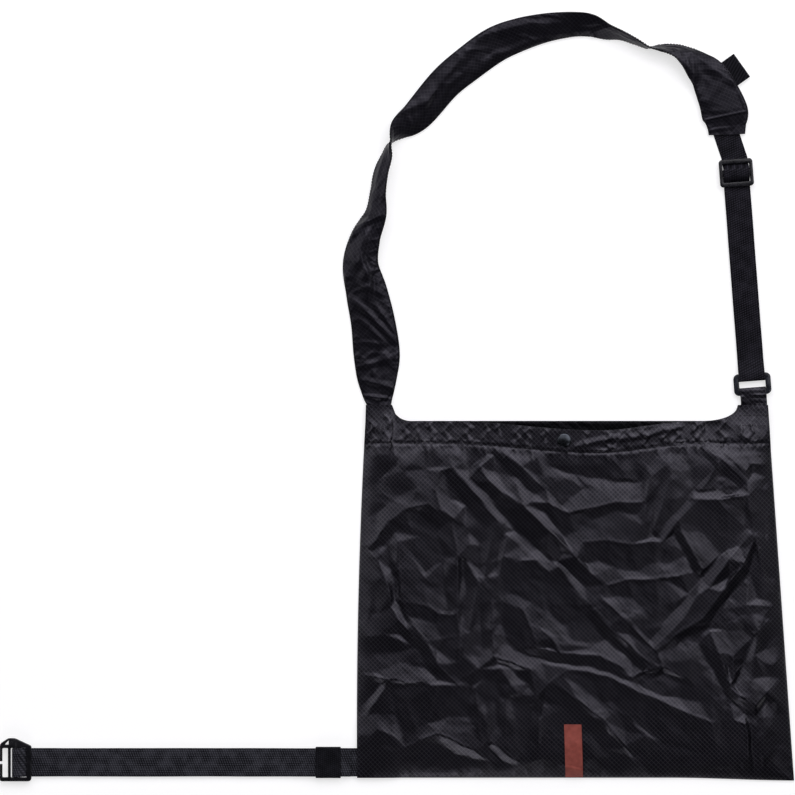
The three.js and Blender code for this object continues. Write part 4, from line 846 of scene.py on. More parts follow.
STRAP_WIDTH = 42.0
STRAP_CLOTH = 1.6
STRAP_START = (-173.25, 165.2)
STRAP_END = (139.87, 418.0)
STRAP_LEVELS = {"floor": 0.0, "back": 1.3, "webbing": 1.5, "tab": 3.0}
STRAP_SECTIONS = [
    # across, up, roll, wide, crown, what it lies on
    (0.000, 0.000, 0, 0.52, 0, "back"),
    (0.001, 0.036, 0, 0.52, 0, "back"),
    (-0.002, 0.078, 0, 0.68, 0.04, "floor"),
    (-0.005, 0.143, 3, 0.88, 0.05, "floor"),
    (-0.006, 0.222, 6, 1.00, 0.05, "floor"),
    (-0.016, 0.329, 14, 0.98, 0.1, "floor"),
    (-0.034, 0.436, 20, 0.95, 0.14, "floor"),
    (-0.052, 0.537, 27, 0.86, 0.17, "floor"),
    (-0.039, 0.629, 36, 0.80, 0.16, "floor"),
    (-0.009, 0.715, 50, 0.72, 0.1, "floor"),
    (-0.002, 0.793, 60, 0.66, 0.06, "floor"),
    (0.007, 0.866, 62, 0.64, 0.03, "floor"),
    (0.022, 0.919, 68, 0.62, 0, "floor"),
    (0.031, 0.962, 84, 0.62, 0, "floor"),
    (0.060, 1.018, 126, 0.76, -0.02, "floor"),
    (0.113, 1.071, 142, 0.84, -0.06, "floor"),
    (0.189, 1.181, 146, 0.86, -0.08, "floor"),
    (0.256, 1.251, 147, 0.89, -0.07, "floor"),
    (0.332, 1.318, 148, 0.89, -0.05, "floor"),
    (0.404, 1.355, 144, 0.86, -0.06, "floor"),
    (0.482, 1.380, 138, 0.80, -0.07, "floor"),
    (0.558, 1.391, 131, 0.77, -0.06, "floor"),
    (0.607, 1.387, 126, 0.77, -0.04, "floor"),
    (0.651, 1.366, 116, 0.72, -0.02, "floor"),
    (0.695, 1.352, 105, 0.64, 0, "floor"),
    (0.735, 1.331, 99, 0.60, 0, "floor"),
    (0.774, 1.309, 90, 0.58, 0, "floor"),
    (0.809, 1.307, 76, 0.60, 0, "floor"),
    (0.852, 1.298, 64, 0.64, 0.02, "floor"),
    (0.885, 1.275, 50, 0.70, 0.04, "tab"),
    (0.917, 1.243, 33, 0.78, 0.05, "tab"),
    (0.950, 1.202, 15, 0.85, 0.04, "tab"),
    (0.979, 1.130, 4, 0.94, 0.03, "tab"),
    (0.995, 1.071, 0, 1.0, 0.02, "tab"),
    (0.999, 1.031, 0, 0.84, 0, "webbing"),
    (1.0, 1.0, 0, 0.78, 0, "webbing"),
]
# The narrow stretches are gathered more than they are rolled: 1 would leave the table's roll as it is
LAID_DOWN = 2.0
STRAP_STEPS = 20
STRAP_CELLS = 36


def strap_stations(places):
    """The strap's centre, roll, width, crown and level at places counted in rows of the table."""
    table = np.array([row[:5] + (STRAP_LEVELS[row[5]],) for row in STRAP_SECTIONS], float)
    last = len(table) - 1
    i = np.clip(np.floor(places).astype(int), 0, last - 1)
    t = (places - i)[:, None]
    before, here = table[np.maximum(i - 1, 0)], table[i]
    after, beyond = table[i + 1], table[np.minimum(i + 2, last)]
    lean_in, lean_out = (after - before) / 2, (beyond - here) / 2
    smooth = (2 * t**3 - 3 * t**2 + 1) * here + (t**3 - 2 * t**2 + t) * lean_in
    smooth += (3 * t**2 - 2 * t**3) * after + (t**3 - t**2) * lean_out
    x = mix(STRAP_START[0], STRAP_END[0], smooth[:, 0])
    y = mix(STRAP_START[1], STRAP_END[1], smooth[:, 1])
    roll, wide = np.radians(smooth[:, 2]), smooth[:, 3] * STRAP_WIDTH
    past_edge = np.clip((90 - np.abs(90 - smooth[:, 2])) / 90, 0, 1)
    eased = np.radians(90 * past_edge**LAID_DOWN)
    narrower = np.cos(np.radians(90 * past_edge)) + 1e-3
    wide = wide * narrower / (np.cos(eased) + LAID_DOWN * 1e-3)
    roll = np.where(smooth[:, 2] > 90, math.pi - eased, eased)
    return x, y, roll, wide, smooth[:, 4] * STRAP_WIDTH, mix(here, after, t)[:, 5]


# How far along the strap its wrinkles are strewn, in millimetres, which is past its end, and how many
WRINKLE_RUN = 770
FACE_WRINKLES = 230
EDGE_WRINKLES = 330
STRAP_CROWN = 0.62

# The strap's own folds: from pixel x, y to pixel x, y, the crest's rise in millimetres, and its flanks in
# pixels
STRAP_FOLDS = [
    (350, 239, 368, 223, 2.4, 7, 5),
    (367, 224, 384, 216, 2.0, 6, 4),
    (369, 232, 362, 258, 2.6, 4, 12),
    (362, 256, 371, 282, 2.6, 4, 12),
    (371, 280, 368, 303, 2.2, 5, 11),
    (352, 298, 373, 318, 1.8, 5, 4),
    (371, 317, 396, 342, 1.8, 5, 4),
    (376, 305, 398, 336, 1.6, 3, 4),
    (359, 318, 385, 343, 1.2, 4, 4),
    (362, 342, 386, 345, 1.0, 3, 3),
    (360, 366, 395, 358, 1.0, 5, 5),
    (362, 380, 394, 388, 1.4, 5, 4),
    (366, 396, 392, 399, 1.2, 3, 3),
    (382, 180, 372, 214, 1.4, 4, 5),
    (387, 150, 378, 182, 1.4, 3, 4),
    (398, 113, 425, 102, 1.6, 7, 6),
    (424, 103, 449, 72, 1.6, 8, 6),
    (447, 74, 483, 35, 1.8, 7, 8),
    (481, 36, 524, 24, 1.6, 6, 8),
    (522, 25, 565, 22, 1.2, 5, 9),
    (417, 120, 433, 90, 1.5, 5, 5),
    (432, 116, 446, 85, 1.5, 5, 5),
    (445, 86, 468, 68, 1.3, 5, 6),
    (470, 75, 500, 52, 1.2, 5, 6),
    (500, 54, 540, 38, 1.2, 5, 6),
    (545, 34, 590, 30, 1.0, 5, 5),
    (590, 34, 612, 25, 1.2, 5, 5),
    (611, 27, 638, 40, 1.4, 4, 4),
    (673, 52, 690, 73, 1.4, 9, 4),
    (689, 72, 700, 100, 1.4, 9, 4),
    (684, 50, 717, 72, 1.6, 8, 9),
    (716, 71, 742, 88, 1.4, 6, 7),
    (722, 80, 704, 108, 1.2, 8, 8),
    (741, 92, 748, 108, 1.2, 5, 5),
]
STRAP_SEAM = (702, 121), (749, 111)


def strap_folds(x, y):
    height = np.zeros_like(x)
    for x0, y0, x1, y1, rise, left, right in STRAP_FOLDS:
        ends = photo_line((x0, y0), (x1, y1))
        height += crease_height(x, y, ends, rise, left * PIXEL, right * PIXEL)
    seam = photo_line(*STRAP_SEAM)
    return height + crease_height(x, y, seam, 0.8, 1.6, 1.6, 0.02)


def strap_wrinkles(along, share):
    """How far the strap's face stands proud, from how far along it in millimetres and the share across."""
    random = np.random.default_rng(SEED + 21)
    across = share * STRAP_WIDTH / 2
    height = waver(along, across, random, 0.3, 60)
    for _ in range(FACE_WRINKLES):
        start = random.uniform(0, WRINKLE_RUN)
        turn = random.normal(0, 0.5) + random.choice([0, math.pi / 3, -math.pi / 3, 1.4])
        reach = random.uniform(10, 34)
        ay = random.uniform(-18, 18)
        ends = (start, ay), (start + reach * math.cos(turn), ay + reach * math.sin(turn))
        gather = 1.5 if start < 150 or 690 < start else 0.9
        rise = random.uniform(0.2, 0.8) * gather * random.choice([-0.7, 1])
        near, far = random.uniform(1.6, 6, 2)
        height += crease_height(along, across, ends, rise, near, far)
    for _ in range(EDGE_WRINKLES):
        at = random.uniform(0, WRINKLE_RUN)
        edge = random.choice([-1, 1])
        lean = random.uniform(-0.5, 0.5)
        inwards = STRAP_WIDTH / 2 - edge * across
        beside = np.abs(along - at - lean * inwards) / random.uniform(1.4, 3.2)
        fade = np.clip(1 - inwards / random.uniform(5, 14), 0, 1)
        rise = random.uniform(0.25, 0.95) * (1.4 if 40 < at < 170 else 0.8)
        height += rise * np.clip(1 - beside, 0, 1) * fade
    return height * ease((1 - np.abs(share)) / 0.12)


def strap_surface(places, share, face):
    """Points of the strap at places along the table's rows, and shares from -1 to 1 across it."""
    x, y, roll, wide, crown, level = strap_stations(places)
    dx, dy = np.gradient(x), np.gradient(y)
    length = np.hypot(dx, dy)
    side_x, side_y = (dy / length)[:, None], (-dx / length)[:, None]
    along = np.concatenate([[0], np.cumsum(np.hypot(np.diff(x), np.diff(y)))])[:, None]
    roll, wide, crown = roll[:, None], wide[:, None], crown[:, None] * STRAP_CROWN
    flat = share * wide / 2
    facing = np.cos(roll)
    middle_x, middle_y = x[:, None] + side_x * flat * facing, y[:, None] + side_y * flat * facing
    upper = np.where(facing >= 0, 1, -1)
    folds = strap_folds(middle_x, middle_y) * np.abs(facing) * upper * ease((1 - np.abs(share)) / 0.12)
    body = crown * (1 - share**2)
    half = STRAP_CLOTH / 2 * (1 - 0.45 * np.abs(share) ** 6)
    spread = np.linspace(-1, 1, 9)[None, :]
    hull = spread * wide / 2 * np.sin(roll) + crown * (1 - spread**2) * facing
    lowest = hull.min(1, keepdims=True) - STRAP_CLOTH / 2
    wrinkles = strap_wrinkles(along + 0 * share, share + 0 * along) * 0.8 * upper
    proud = body + face * half + wrinkles + folds
    out = flat * facing - proud * np.sin(roll)
    z = flat * np.sin(roll) + proud * facing - lowest + level[:, None]
    points = np.stack([x[:, None] + side_x * out, y[:, None] + side_y * out, np.maximum(z, 0.05)], 2)
    return points, np.stack([along + 0 * share, flat + 0 * along], 2)


def shoulder_strap():
    rows = (len(STRAP_SECTIONS) - 1) * STRAP_STEPS + 1
    places = np.linspace(0, len(STRAP_SECTIONS) - 1, rows)
    share = np.sin(np.linspace(-1, 1, STRAP_CELLS + 1) * math.pi / 2 * 0.92)[None, :]
    share = share / share.max()
    upper, upper_uv = strap_surface(places, share, 1)
    lower, lower_uv = strap_surface(places, share, -1)
    columns = STRAP_CELLS + 1
    points = np.concatenate([upper, lower[:, ::-1]], 1)
    uv = np.concatenate([upper_uv, lower_uv[:, ::-1]], 1)
    around = 2 * columns
    faces = ring_faces(rows, around)
    last = (rows - 1) * around
    for j in range(columns - 1):
        k = around - 1 - j
        faces.append((j + 1, j, k, k - 1))
        faces.append((last + j, last + j + 1, last + k - 1, last + k))
    piece = mesh_piece("shoulder_strap_cloth", points.reshape(-1, 3), faces, uv.reshape(-1, 2))
    turned_out(piece)
    return piece


def snap_dome():
    """The snap's cap: a low dome with a rolled rim, on the cap of the frame."""
    rise = snap_high[2] - snap_low[2]
    profile = [(0.02, 0.0), (5.6, 0.0), (6.15, 0.12), (6.35, 0.4), (6.25, 0.7)]
    shoulder = rise - 1.0
    profile += [(6.15, shoulder - 0.25), (5.9, shoulder)]
    profile += [(r, rise - 0.95 * (r / 5.9) ** 2) for r in np.linspace(5.7, 0.02, 14)]
    turns = np.linspace(0, 2 * math.pi, 49)[:-1]
    out = np.array([[(r * math.cos(t), r * math.sin(t), z) for t in turns] for r, z in profile])
    points = out + np.array([SNAP[0], SNAP[1], snap_low[2]])
    columns = len(turns)
    faces = ring_faces(len(profile), columns)
    faces.append(tuple(reversed(range(columns))))
    faces.append(tuple(range((len(profile) - 1) * columns, len(profile) * columns)))
    piece = mesh_piece("snap_cap_body", points.reshape(-1, 3), faces)
    turned_out(piece)
    return piece


def turned_out(piece):
    """Points a closed mesh's faces outwards."""
    built = bmesh.new()
    built.from_mesh(piece.data)
    bmesh.ops.recalc_face_normals(built, faces=built.faces)
    built.to_mesh(piece.data)
    built.free()


# Materials


class Value:
    """A socket of a material, for writing its maths as expressions."""

    def __init__(self, tree, socket):
        self.tree = tree
        self.socket = socket

    def math(self, operation, *others):
        node = self.tree.nodes.new("ShaderNodeMath")
        node.operation = operation
        for place, value in enumerate((self, *others)):
            if isinstance(value, Value):
                self.tree.links.new(value.socket, node.inputs[place])
            else:
                node.inputs[place].default_value = value
        return Value(self.tree, node.outputs[0])

    def swapped(self, operation, other):
        node = self.tree.nodes.new("ShaderNodeMath")
        node.operation = operation
        node.inputs[0].default_value = other
        self.tree.links.new(self.socket, node.inputs[1])
        return Value(self.tree, node.outputs[0])

    def __add__(self, other):
        return self.math("ADD", other)

    __radd__ = __add__

    def __mul__(self, other):
        return self.math("MULTIPLY", other)

    __rmul__ = __mul__

    def __sub__(self, other):
        return self.math("SUBTRACT", other)

    def __rsub__(self, other):
        return self.swapped("SUBTRACT", other)

    def __truediv__(self, other):
        return self.math("DIVIDE", other)


class Finish:
    """One material and what its nodes are made with."""

    def __init__(self, name, **constants):
        self.material = bpy.data.materials.new(name)
        self.material.use_nodes = True
        self.tree = self.material.node_tree
        self.shader = self.tree.nodes["Principled BSDF"]
        for socket, value in constants.items():
            self.shader.inputs[socket.replace("_", " ").title().replace("Ior", "IOR")].default_value = value

    def node(self, kind, settings, sockets, output=0):
        node = self.tree.nodes.new(kind)
        for name, value in settings.items():
            setattr(node, name, value)
        for key, value in sockets.items():
            self.feed(node.inputs[key], value)
        return Value(self.tree, node.outputs[output])

    def feed(self, socket, value):
        if isinstance(value, Value):
            self.tree.links.new(value.socket, socket)
        else:
            socket.default_value = value

    def place(self, uv=True, turn=0.0):
        """The x, y and z of the cloth's own map, or of the object, in millimetres and turned in the plane."""
        if uv:
            source = self.node("ShaderNodeUVMap", {"uv_map": "Cloth"}, {})
        else:
            source = self.node("ShaderNodeTexCoord", {}, {}, output=3)
        scale = (1 / MM,) * 3
        turned = self.node("ShaderNodeMapping", {}, {0: source, 2: (0, 0, math.radians(turn)), 3: scale})
        split = self.tree.nodes.new("ShaderNodeSeparateXYZ")
        self.tree.links.new(turned.socket, split.inputs[0])
        return turned, [Value(self.tree, socket) for socket in split.outputs]

    def noise(self, at, size, detail=3, roughness=0.5):
        """Noise from 0 to 1 whose lumps are about size millimetres."""
        settings = {"noise_dimensions": "3D"}
        sockets = {"Vector": at, "Scale": 1 / size, "Detail": detail, "Roughness": roughness}
        return self.node("ShaderNodeTexNoise", settings, sockets)

    def streaks(self, at, scale):
        """Fine threads: noise drawn out along one way."""
        drawn = self.node("ShaderNodeMapping", {}, {0: at, 3: scale})
        sockets = {"Vector": drawn, "Scale": 1.0, "Detail": 2, "Roughness": 0.6}
        return self.node("ShaderNodeTexNoise", {}, sockets)

    def stretch(self, value, low, high, to_low=0.0, to_high=1.0):
        settings = {"interpolation_type": "SMOOTHSTEP"}
        return self.node("ShaderNodeMapRange", settings, {0: value, 1: low, 2: high, 3: to_low, 4: to_high})

    def blend(self, share, a, b):
        node = self.tree.nodes.new("ShaderNodeMix")
        node.data_type = "RGBA"
        for socket, value in zip((node.inputs[0], node.inputs[6], node.inputs[7]), (share, a, b)):
            self.feed(socket, value)
        return Value(self.tree, node.outputs[2])

    def surface(self, color, roughness, height, depth):
        """Sets what changes over the surface. Depth is how deep the bump's height of 1 is, in millimetres."""
        self.feed(self.shader.inputs["Base Color"], color)
        self.feed(self.shader.inputs["Roughness"], roughness)
        sockets = {"Strength": 1.0, "Distance": depth * MM, "Height": height}
        self.feed(self.shader.inputs["Normal"], self.node("ShaderNodeBump", {}, sockets))
        return self.material


def ridge(finish, value, pitch, width):
    """Soft ridges a pitch apart, 1 at their tops and 0 between them."""
    wave = ((value / pitch).math("FRACT") - 0.5).math("ABSOLUTE")
    return finish.stretch(wave, 0.5 - width / pitch / 2, 0.5)


RIPSTOP_PITCH = 2.95


def crumpled(finish, at, size, way):
    """Flat facets that meet in sharp creases, about size millimetres long."""
    drift = finish.node("ShaderNodeTexNoise", {}, {"Vector": at, "Scale": 0.5 / size, "Detail": 2}, output=1)
    mixed = {0: at, 1: finish.node("ShaderNodeVectorMath", {"operation": "SCALE"}, {0: drift, 3: size * 1.4})}
    bent = finish.node("ShaderNodeVectorMath", {"operation": "ADD"}, mixed)
    drawn = finish.node("ShaderNodeMapping", {}, {0: bent, 2: (0, 0, way), 3: (0.62, 1.35, 1)})
    settings = {"voronoi_dimensions": "2D", "feature": "F1", "distance": "CHEBYCHEV"}
    return finish.node("ShaderNodeTexVoronoi", settings, {"Vector": drawn, "Scale": 1 / size})


def ripstop(name, dark, light, shine=0.31, glint=0.7, relief=1.0, level=0.36):
    """Thin black nylon with a square grid of heavier threads, laid on the bias."""
    finish = Finish(name, specular_ior_level=level, specular_tint=(0.86, 0.82, 1.0, 1), coat_roughness=0.3)
    at, (u, v, _) = finish.place(True, 45.0)
    grid = ridge(finish, v, RIPSTOP_PITCH, 0.8).math("MAXIMUM", ridge(finish, u, RIPSTOP_PITCH, 0.8) * 0.8)
    streaks = finish.streaks(at, (0.09, 1.3, 1)) + finish.streaks(at, (1.3, 0.09, 1))
    cloudy = finish.noise(at, 26, 3)
    rumple = finish.noise(at, 7, 4, 0.55)
    creased = finish.stretch(cloudy, 0.42, 0.62, 0.3, 1.0)
    folds = crumpled(finish, at, 21, 0.4) * 0.85 + crumpled(finish, at, 8, -0.9) * 0.2
    tone = grid * 0.9 + streaks * 0.1 - 0.05
    color = finish.blend(tone.math("MINIMUM", 1.0).math("MAXIMUM", 0.0), dark, light)
    rough = finish.stretch(cloudy, 0.3, 0.7, shine - 0.03, shine + 0.03) + grid * 0.04
    finish.feed(finish.shader.inputs["Coat Weight"], grid * glint)
    height = folds * creased * relief + rumple * 0.22 + grid * (0.16 * glint) + streaks * 0.035
    return finish.surface(color, rough, height, 1.0)


def webbing(name, dark, light, turn, rib=2.1, row=2.1, picks_share=0.15):
    """Nylon webbing: ribs along it and the picks of the weave across them."""
    finish = Finish(name, specular_ior_level=0.06, specular_tint=(0.9, 0.9, 1.0, 1))
    at, (x, y, z) = finish.place(False, turn)
    ribs = (y * (2 * math.pi / rib)).math("SINE") * 0.5 + 0.5
    picks = ((x + y * 0.35 + z * 0.8) * (2 * math.pi / row)).math("SINE") * 0.5 + 0.5
    weave = picks * picks_share + ribs * picks * (1 - picks_share)
    worn = finish.noise(at, 9, 4)
    tone = weave * 0.75 + finish.stretch(worn, 0.35, 0.7, 0, 0.25)
    color = finish.blend(tone.math("MINIMUM", 1.0), dark, light)
    rough = finish.stretch(worn, 0.3, 0.7, 0.5, 0.62)
    return finish.surface(color, rough, weave + worn * 0.2, 0.28)


def moulded(name, dark, light, rough, level=0.32, metallic=0.0):
    """A satin moulded or lacquered face, with faint flow marks and scuffs."""
    finish = Finish(name, specular_ior_level=level, metallic=metallic)
    at, _ = finish.place(False)
    flow = finish.noise(at, 7, 4)
    grain = finish.noise(at, 0.45, 2)
    scuffs = finish.stretch(finish.noise(at, 1.6, 5, 0.7), 0.6, 0.74)
    color = finish.blend(finish.stretch(flow, 0.3, 0.7) * 0.6 + scuffs * 0.4, dark, light)
    roughness = finish.stretch(flow, 0.3, 0.7, rough - 0.05, rough + 0.06) + scuffs * 0.1
    return finish.surface(color, roughness, grain * 0.5 + flow * 0.5, 0.06)


def woven_tape(name, dark, light):
    """A red tape of fine satin weave."""
    finish = Finish(name, specular_ior_level=0.3, sheen_weight=0.1, sheen_roughness=0.4)
    at, (u, v, _) = finish.place(True)
    warp = (u * (2 * math.pi / 0.42)).math("SINE") * 0.5 + 0.5
    weft = (v * (2 * math.pi / 0.6) + warp * 2).math("SINE") * 0.5 + 0.5
    worn = finish.noise(at, 6, 4)
    color = finish.blend(warp * 0.25 + weft * 0.25 + finish.stretch(worn, 0.3, 0.75) * 0.5, dark, light)
    return finish.surface(color, finish.stretch(worn, 0.3, 0.7, 0.5, 0.62), warp * weft + worn * 0.3, 0.12)


def thread_finish(name, color):
    finish = Finish(name, specular_ior_level=0.1)
    at, _ = finish.place(False)
    twist = finish.noise(at, 0.5, 2)
    tone = finish.blend(twist, tuple(c * 0.6 for c in color[:3]) + (1,), color)
    return finish.surface(tone, 0.55 + twist * 0.1, twist, 0.08)


def table_top():
    glow = {"emission_color": (1, 1, 1, 1), "emission_strength": 0.62}
    finish = Finish("white_table", specular_ior_level=0.1, **glow)
    at, _ = finish.place(False)
    cloud = finish.noise(at, 300, 2)
    color = finish.blend(cloud, (0.50, 0.50, 0.50, 1), (0.53, 0.53, 0.53, 1))
    return finish.surface(color, 0.8 + cloud * 0.05, finish.noise(at, 1.2, 2), 0.01)


RIPSTOP = ripstop(
    "black_ripstop",
    (0.0003, 0.0002, 0.0009, 1),
    (0.0028, 0.0025, 0.0048, 1),
    glint=0.85,
    level=0.37,
)
STRAP_RIPSTOP = ripstop(
    "strap_ripstop",
    (0.0020, 0.0018, 0.0030, 1),
    (0.0080, 0.0076, 0.0108, 1),
    shine=0.38,
    glint=0.25,
    relief=0.45,
    level=0.22,
)
MOUTH_RIPSTOP = ripstop(
    "lining_side_ripstop",
    (0.0006, 0.0006, 0.0010, 1),
    (0.0030, 0.0030, 0.0042, 1),
    glint=0.2,
    level=0.1,
)
WAIST_WEBBING = webbing("waist_webbing_weave", (0.0025, 0.0025, 0.0036, 1), (0.0740, 0.0750, 0.0900, 1), 0)
STRAP_WEBBING = webbing(
    "strap_webbing_weave",
    (0.0003, 0.0003, 0.0006, 1),
    (0.0300, 0.0285, 0.0380, 1),
    STRAP_WEBBING_WAY,
)
TAB_WEBBING = webbing(
    "tab_webbing_weave",
    (0.0006, 0.0006, 0.0010, 1),
    (0.0130, 0.0126, 0.0165, 1),
    TAB_WAY,
    rib=1.2,
    row=2.7,
    picks_share=0.9,
)
KEEPER_ELASTIC = webbing(
    "keeper_elastic",
    (0.0008, 0.0008, 0.0012, 1),
    (0.0200, 0.0200, 0.0250, 1),
    90,
    rib=1.8,
    row=1.8,
)
SLIDER_NYLON = moulded("slider_nylon", (0.004, 0.004, 0.0055, 1), (0.011, 0.0108, 0.015, 1), 0.24, 0.45)
RING_NYLON = moulded("ring_nylon", (0.009, 0.010, 0.014, 1), (0.028, 0.030, 0.040, 1), 0.2, 0.5)
HOOK_NYLON = moulded("hook_nylon", (0.0035, 0.0035, 0.005, 1), (0.011, 0.011, 0.014, 1), 0.2, 0.9)
SNAP_FINISH = moulded("snap_lacquer", (0.045, 0.050, 0.058, 1), (0.080, 0.087, 0.100, 1), 0.26, metallic=1.0)
LABEL_TAPE = woven_tape("red_tape", (0.20, 0.038, 0.028, 1), (0.38, 0.092, 0.068, 1))
BLACK_THREAD = thread_finish("black_thread", (0.0025, 0.0025, 0.003, 1))


def dress(piece, material, slot, *nodes):
    """Finishes a piece: its material, and the nodes of the frame that it stands for, which are hidden. The
    slot is not used.
    """
    piece.data.materials.clear()
    piece.data.materials.append(material)
    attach(piece, "root")
    if nodes:
        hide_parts(*nodes)
    return piece


# Stitches, made along paths by Geometry Nodes


def stitch_tree():
    tree = bpy.data.node_groups.new("stitches", "GeometryNodeTree")
    face = tree.interface
    face.new_socket("Path", in_out="INPUT", socket_type="NodeSocketGeometry")
    for name in ("Pitch", "Length", "Thickness"):
        face.new_socket(name, in_out="INPUT", socket_type="NodeSocketFloat")
    face.new_socket("Thread", in_out="INPUT", socket_type="NodeSocketMaterial")
    face.new_socket("Stitches", in_out="OUTPUT", socket_type="NodeSocketGeometry")

    def node(kind, sockets, **settings):
        made = tree.nodes.new(kind)
        for name, value in settings.items():
            setattr(made, name, value)
        for key, value in sockets.items():
            if isinstance(value, bpy.types.NodeSocket):
                tree.links.new(value, made.inputs[key])
            else:
                made.inputs[key].default_value = value
        return made.outputs[0]

    given = tree.nodes.new("NodeGroupInput").outputs
    route = {"Curve": given["Path"], "Length": given["Pitch"]}
    points = node("GeometryNodeResampleCurve", route, mode="LENGTH")
    bead = node("GeometryNodeMeshUVSphere", {"Segments": 6, "Rings": 4, "Radius": 0.5})
    size = node("ShaderNodeCombineXYZ", {0: given["Length"], 1: given["Thickness"], 2: given["Thickness"]})
    stitch = node("GeometryNodeTransform", {"Geometry": bead, "Scale": size})
    way = node("GeometryNodeInputTangent", {})
    turn = node("FunctionNodeAlignRotationToVector", {"Vector": way}, axis="X")
    placed = node("GeometryNodeInstanceOnPoints", {"Points": points, "Instance": stitch, "Rotation": turn})
    real = node("GeometryNodeRealizeInstances", {"Geometry": placed})
    smooth = node("GeometryNodeSetShadeSmooth", {"Geometry": real})
    dyed = node("GeometryNodeSetMaterial", {"Geometry": smooth, "Material": given["Thread"]})
    tree.links.new(dyed, tree.nodes.new("NodeGroupOutput").inputs[0])
    return tree


STITCHES = stitch_tree()


def sewn(name, paths, pitch, length, thickness):
    """A piece of stitches along paths, each an array of points in millimetres, dressed as black thread."""
    curve = bpy.data.curves.new(name, "CURVE")
    curve.dimensions = "3D"
    for path in paths:
        spline = curve.splines.new("POLY")
        spline.points.add(len(path) - 1)
        for point, place in zip(spline.points, path):
            point.co = (*(np.asarray(place) * MM), 1)
    guide = new_object(name + "_path", curve)
    modifier = guide.modifiers.new("Stitches", "NODES")
    modifier.node_group = STITCHES
    sizes = {"Pitch": pitch * MM, "Length": length * MM, "Thickness": thickness * MM, "Thread": BLACK_THREAD}
    for item in STITCHES.interface.items_tree:
        if item.name in sizes:
            modifier[item.identifier] = sizes[item.name]
    depsgraph = bpy.context.evaluated_depsgraph_get()
    mesh = bpy.data.meshes.new_from_object(guide.evaluated_get(depsgraph))
    bpy.data.objects.remove(guide)
    return dress(new_object(name, mesh), BLACK_THREAD, "ripstop")


def on_front(points_across, points_up, lift=0.0):
    points = front_surface(np.asarray(points_across), np.asarray(points_up))
    points[..., 2] += CLOTH / 2 + lift
    return points


# The camera, the table and the light


def stage():
    height = 3.5775
    camera = bpy.data.objects.new("camera", bpy.data.cameras.new("camera"))
    camera.data.sensor_width = 36
    camera.data.lens = 36 * height / (PHOTO_PIXELS * PIXEL * MM)
    camera.data.clip_end = 20
    middle = from_photo(PHOTO_PIXELS / 2, PHOTO_PIXELS / 2)
    camera.location = (middle[0] * MM, middle[1] * MM, height)
    bpy.context.scene.collection.objects.link(camera)
    bpy.context.scene.camera = camera

    reach = 9000
    corners = [(-reach, -reach, 0), (reach, -reach, 0), (reach, reach, 0), (-reach, reach, 0)]
    table = mesh_piece("table", corners, [(0, 1, 2, 3)], smooth=False)
    table.data.materials.append(table_top())

    world = bpy.data.worlds.new("studio")
    world.use_nodes = True
    world.node_tree.nodes["Background"].inputs[0].default_value = (0.96, 0.98, 1.0, 1)
    world.node_tree.nodes["Background"].inputs[1].default_value = 0.03
    bpy.context.scene.world = world
    bpy.context.scene.view_settings.view_transform = "Standard"

    softbox("softbox_left", (-2.45, 0.75, 1.10), (1.4, 2.4), 16, middle)
    softbox("softbox_right", (1.45, 0.85, 1.95), (1.2, 1.8), 14, middle)
    softbox("softbox_top", (0.10, 2.30, 1.65), (3.8, 1.6), 66, middle)
    softbox("softbox_high", (-0.25, 1.40, 2.80), (3.2, 1.3), 15, middle)
    softbox("softbox_foot", (-0.45, -1.25, 0.5), (0.7, 0.4), 3.5, middle)
    softbox("softbox_low_right", (0.95, -0.70, 1.75), (0.35, 0.35), 1.0, middle)


def softbox(name, place, size, power, aim):
    light = bpy.data.lights.new(name, "AREA")
    light.shape = "RECTANGLE"
    light.size, light.size_y = size
    light.energy = power
    light.color = (0.97, 0.955, 1.0)
    box = bpy.data.objects.new(name, light)
    box.location = place
    towards = Vector((aim[0] * MM, aim[1] * MM, 0)) - box.location
    box.rotation_euler = towards.to_track_quat("-Z", "Y").to_euler()
    bpy.context.scene.collection.objects.link(box)


stage()

front = dress(front_panel(), RIPSTOP, "ripstop", "front_panel")
front_facing = dress(front_hem(), MOUTH_RIPSTOP, "ripstop", "front_facing")
back = dress(back_panel(), RIPSTOP, "ripstop", "back_panel")
back_facing = dress(back_hem(), MOUTH_RIPSTOP, "ripstop", "back_facing")
tape = dress(label(), LABEL_TAPE, "label", "label")
strap = dress(shoulder_strap(), STRAP_RIPSTOP, "ripstop", "shoulder_strap")
strap_band = softened("strap_webbing", "strap_webbing_band", STRAP_WEBBING_WAY, 2.5, 0.07, 24)
waist_band = softened("waist_webbing", "waist_webbing_band", 0, 2.5, 0.09, 30)
tab = softened("hook_tab", "hook_tab_band", TAB_WAY, 1.5, 0.08, 9)
keeper = softened("waist_keeper", "keeper_band", 0, 1.5, 0.05, 6)
ring_loop = mapped(softened("ring_loop", "ring_loop_cloth", 90, 1.2, 0.45, 7))
dress(strap_band, STRAP_WEBBING, "webbing", "strap_webbing")
dress(waist_band, WAIST_WEBBING, "webbing", "waist_webbing")
dress(tab, TAB_WEBBING, "webbing", "hook_tab")
dress(keeper, KEEPER_ELASTIC, "webbing", "waist_keeper")
dress(ring_loop, RIPSTOP, "ripstop", "ring_loop")
dress(refined("strap_slider", "slider_body", 0.5, 3), SLIDER_NYLON, "nylon", "strap_slider")
dress(refined("strap_ring", "ring_body", 0.6, 3), RING_NYLON, "nylon", "strap_ring")
dress(refined("hook_buckle", "hook_body", 0.3, 2), HOOK_NYLON, "nylon", "hook_buckle")
dress(snap_dome(), SNAP_FINISH, "snap", "snap_cap")
dress(refined("snap_stud", "snap_stud_body"), SNAP_FINISH, "snap", "snap_stud")
dress(refined("snap_socket", "snap_socket_body"), SNAP_FINISH, "snap", "snap_socket")

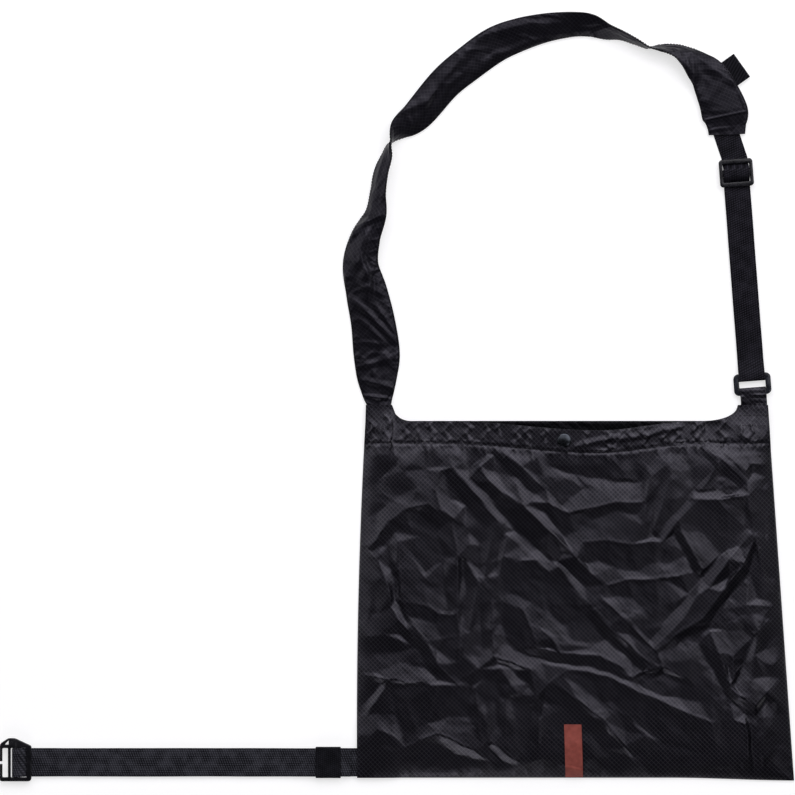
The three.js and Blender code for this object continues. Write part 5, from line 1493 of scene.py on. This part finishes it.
hem_across = np.linspace(0.004, 0.996, 420)
hem_path = on_front(hem_across, hem_share(hem_across), 0.02)
hem_stitches = sewn("hem_stitches", [hem_path], 3.1, 2.4, 0.6)

strap_places = np.linspace(1.2, len(STRAP_SECTIONS) - 1.5, 900)
strap_paths = []
for face in (1, -1):
    for edge in (-0.955, 0.955):
        points, _ = strap_surface(strap_places, np.array([[edge]]), face)
        strap_paths.append(points[:, 0])
# The seams on the horns: how far up, and from which share across to which
HORN_SEAMS = [
    (0.965, 0.004, 0.062),
    (0.935, 0.004, 0.064),
    (0.972, 0.930, 0.996),
    (0.945, 0.926, 0.996),
]
horn_paths = []
for high, start, end in HORN_SEAMS:
    horn_across = np.linspace(start, end, 40)
    horn_paths.append(on_front(horn_across, high, 0.02))
horn_stitches = sewn("horn_stitches", horn_paths, 2.9, 2.2, 0.55)

mouth_across = np.linspace(0.10, 0.90, 300)
mouth_path = on_front(mouth_across, 1 - 2.2 / BAG_HEIGHT, 0.02)
mouth_stitches = sewn("mouth_stitches", [mouth_path], 2.9, 2.2, 0.5)

strap_stitches = sewn("strap_stitches", strap_paths, 2.7, 2.0, 1.0)

# The sheets' flat sizes, given here in millimetres


def declare(piece, width, length, held, rests_on, area=None, with_pieces=()):
    area = None if area is None else area * MM * MM


horns = (LEFT_HORN_WIDTH + RIGHT_HORN_WIDTH) * HORN_HEIGHT
panel_cut = (MOUTH_WIDTH + FOOT_WIDTH) / 2 * BAG_HEIGHT + horns
facing_cut = MOUTH_WIDTH - 2 * FACING_INSET
strap_line = strap_stations(np.linspace(0, len(STRAP_SECTIONS) - 1, 900))
strap_length = float(np.hypot(np.diff(strap_line[0]), np.diff(strap_line[1])).sum())
panel_stitches = [hem_stitches, horn_stitches, mouth_stitches]
declare(front, FOOT_WIDTH, BAG_HEIGHT + HORN_HEIGHT, "laid", [back], panel_cut, panel_stitches)
declare(front_facing, facing_cut, HEM_WIDTH, "laid", [back_facing])
declare(back, FOOT_WIDTH, BAG_HEIGHT + HORN_HEIGHT, "laid", [], panel_cut)
declare(back_facing, facing_cut, HEM_WIDTH, "laid", [back])
declare(tape, LABEL_WIDTH, LABEL_LENGTH, "laid", [front])
declare(strap, STRAP_WIDTH, strap_length, "gathered", [back, tab], None, [strap_stitches])
declare(strap_band, *STRAP_WEBBING_CUT, "folded", ["slider_body", "ring_body"])
declare(waist_band, *WAIST_WEBBING_CUT, "folded", ["hook_body"])
declare(tab, *TAB_CUT, "folded", [])
declare(keeper, *KEEPER_CUT, "folded", [waist_band])
declare(ring_loop, *RING_LOOP_CUT, "folded", ["ring_body"])
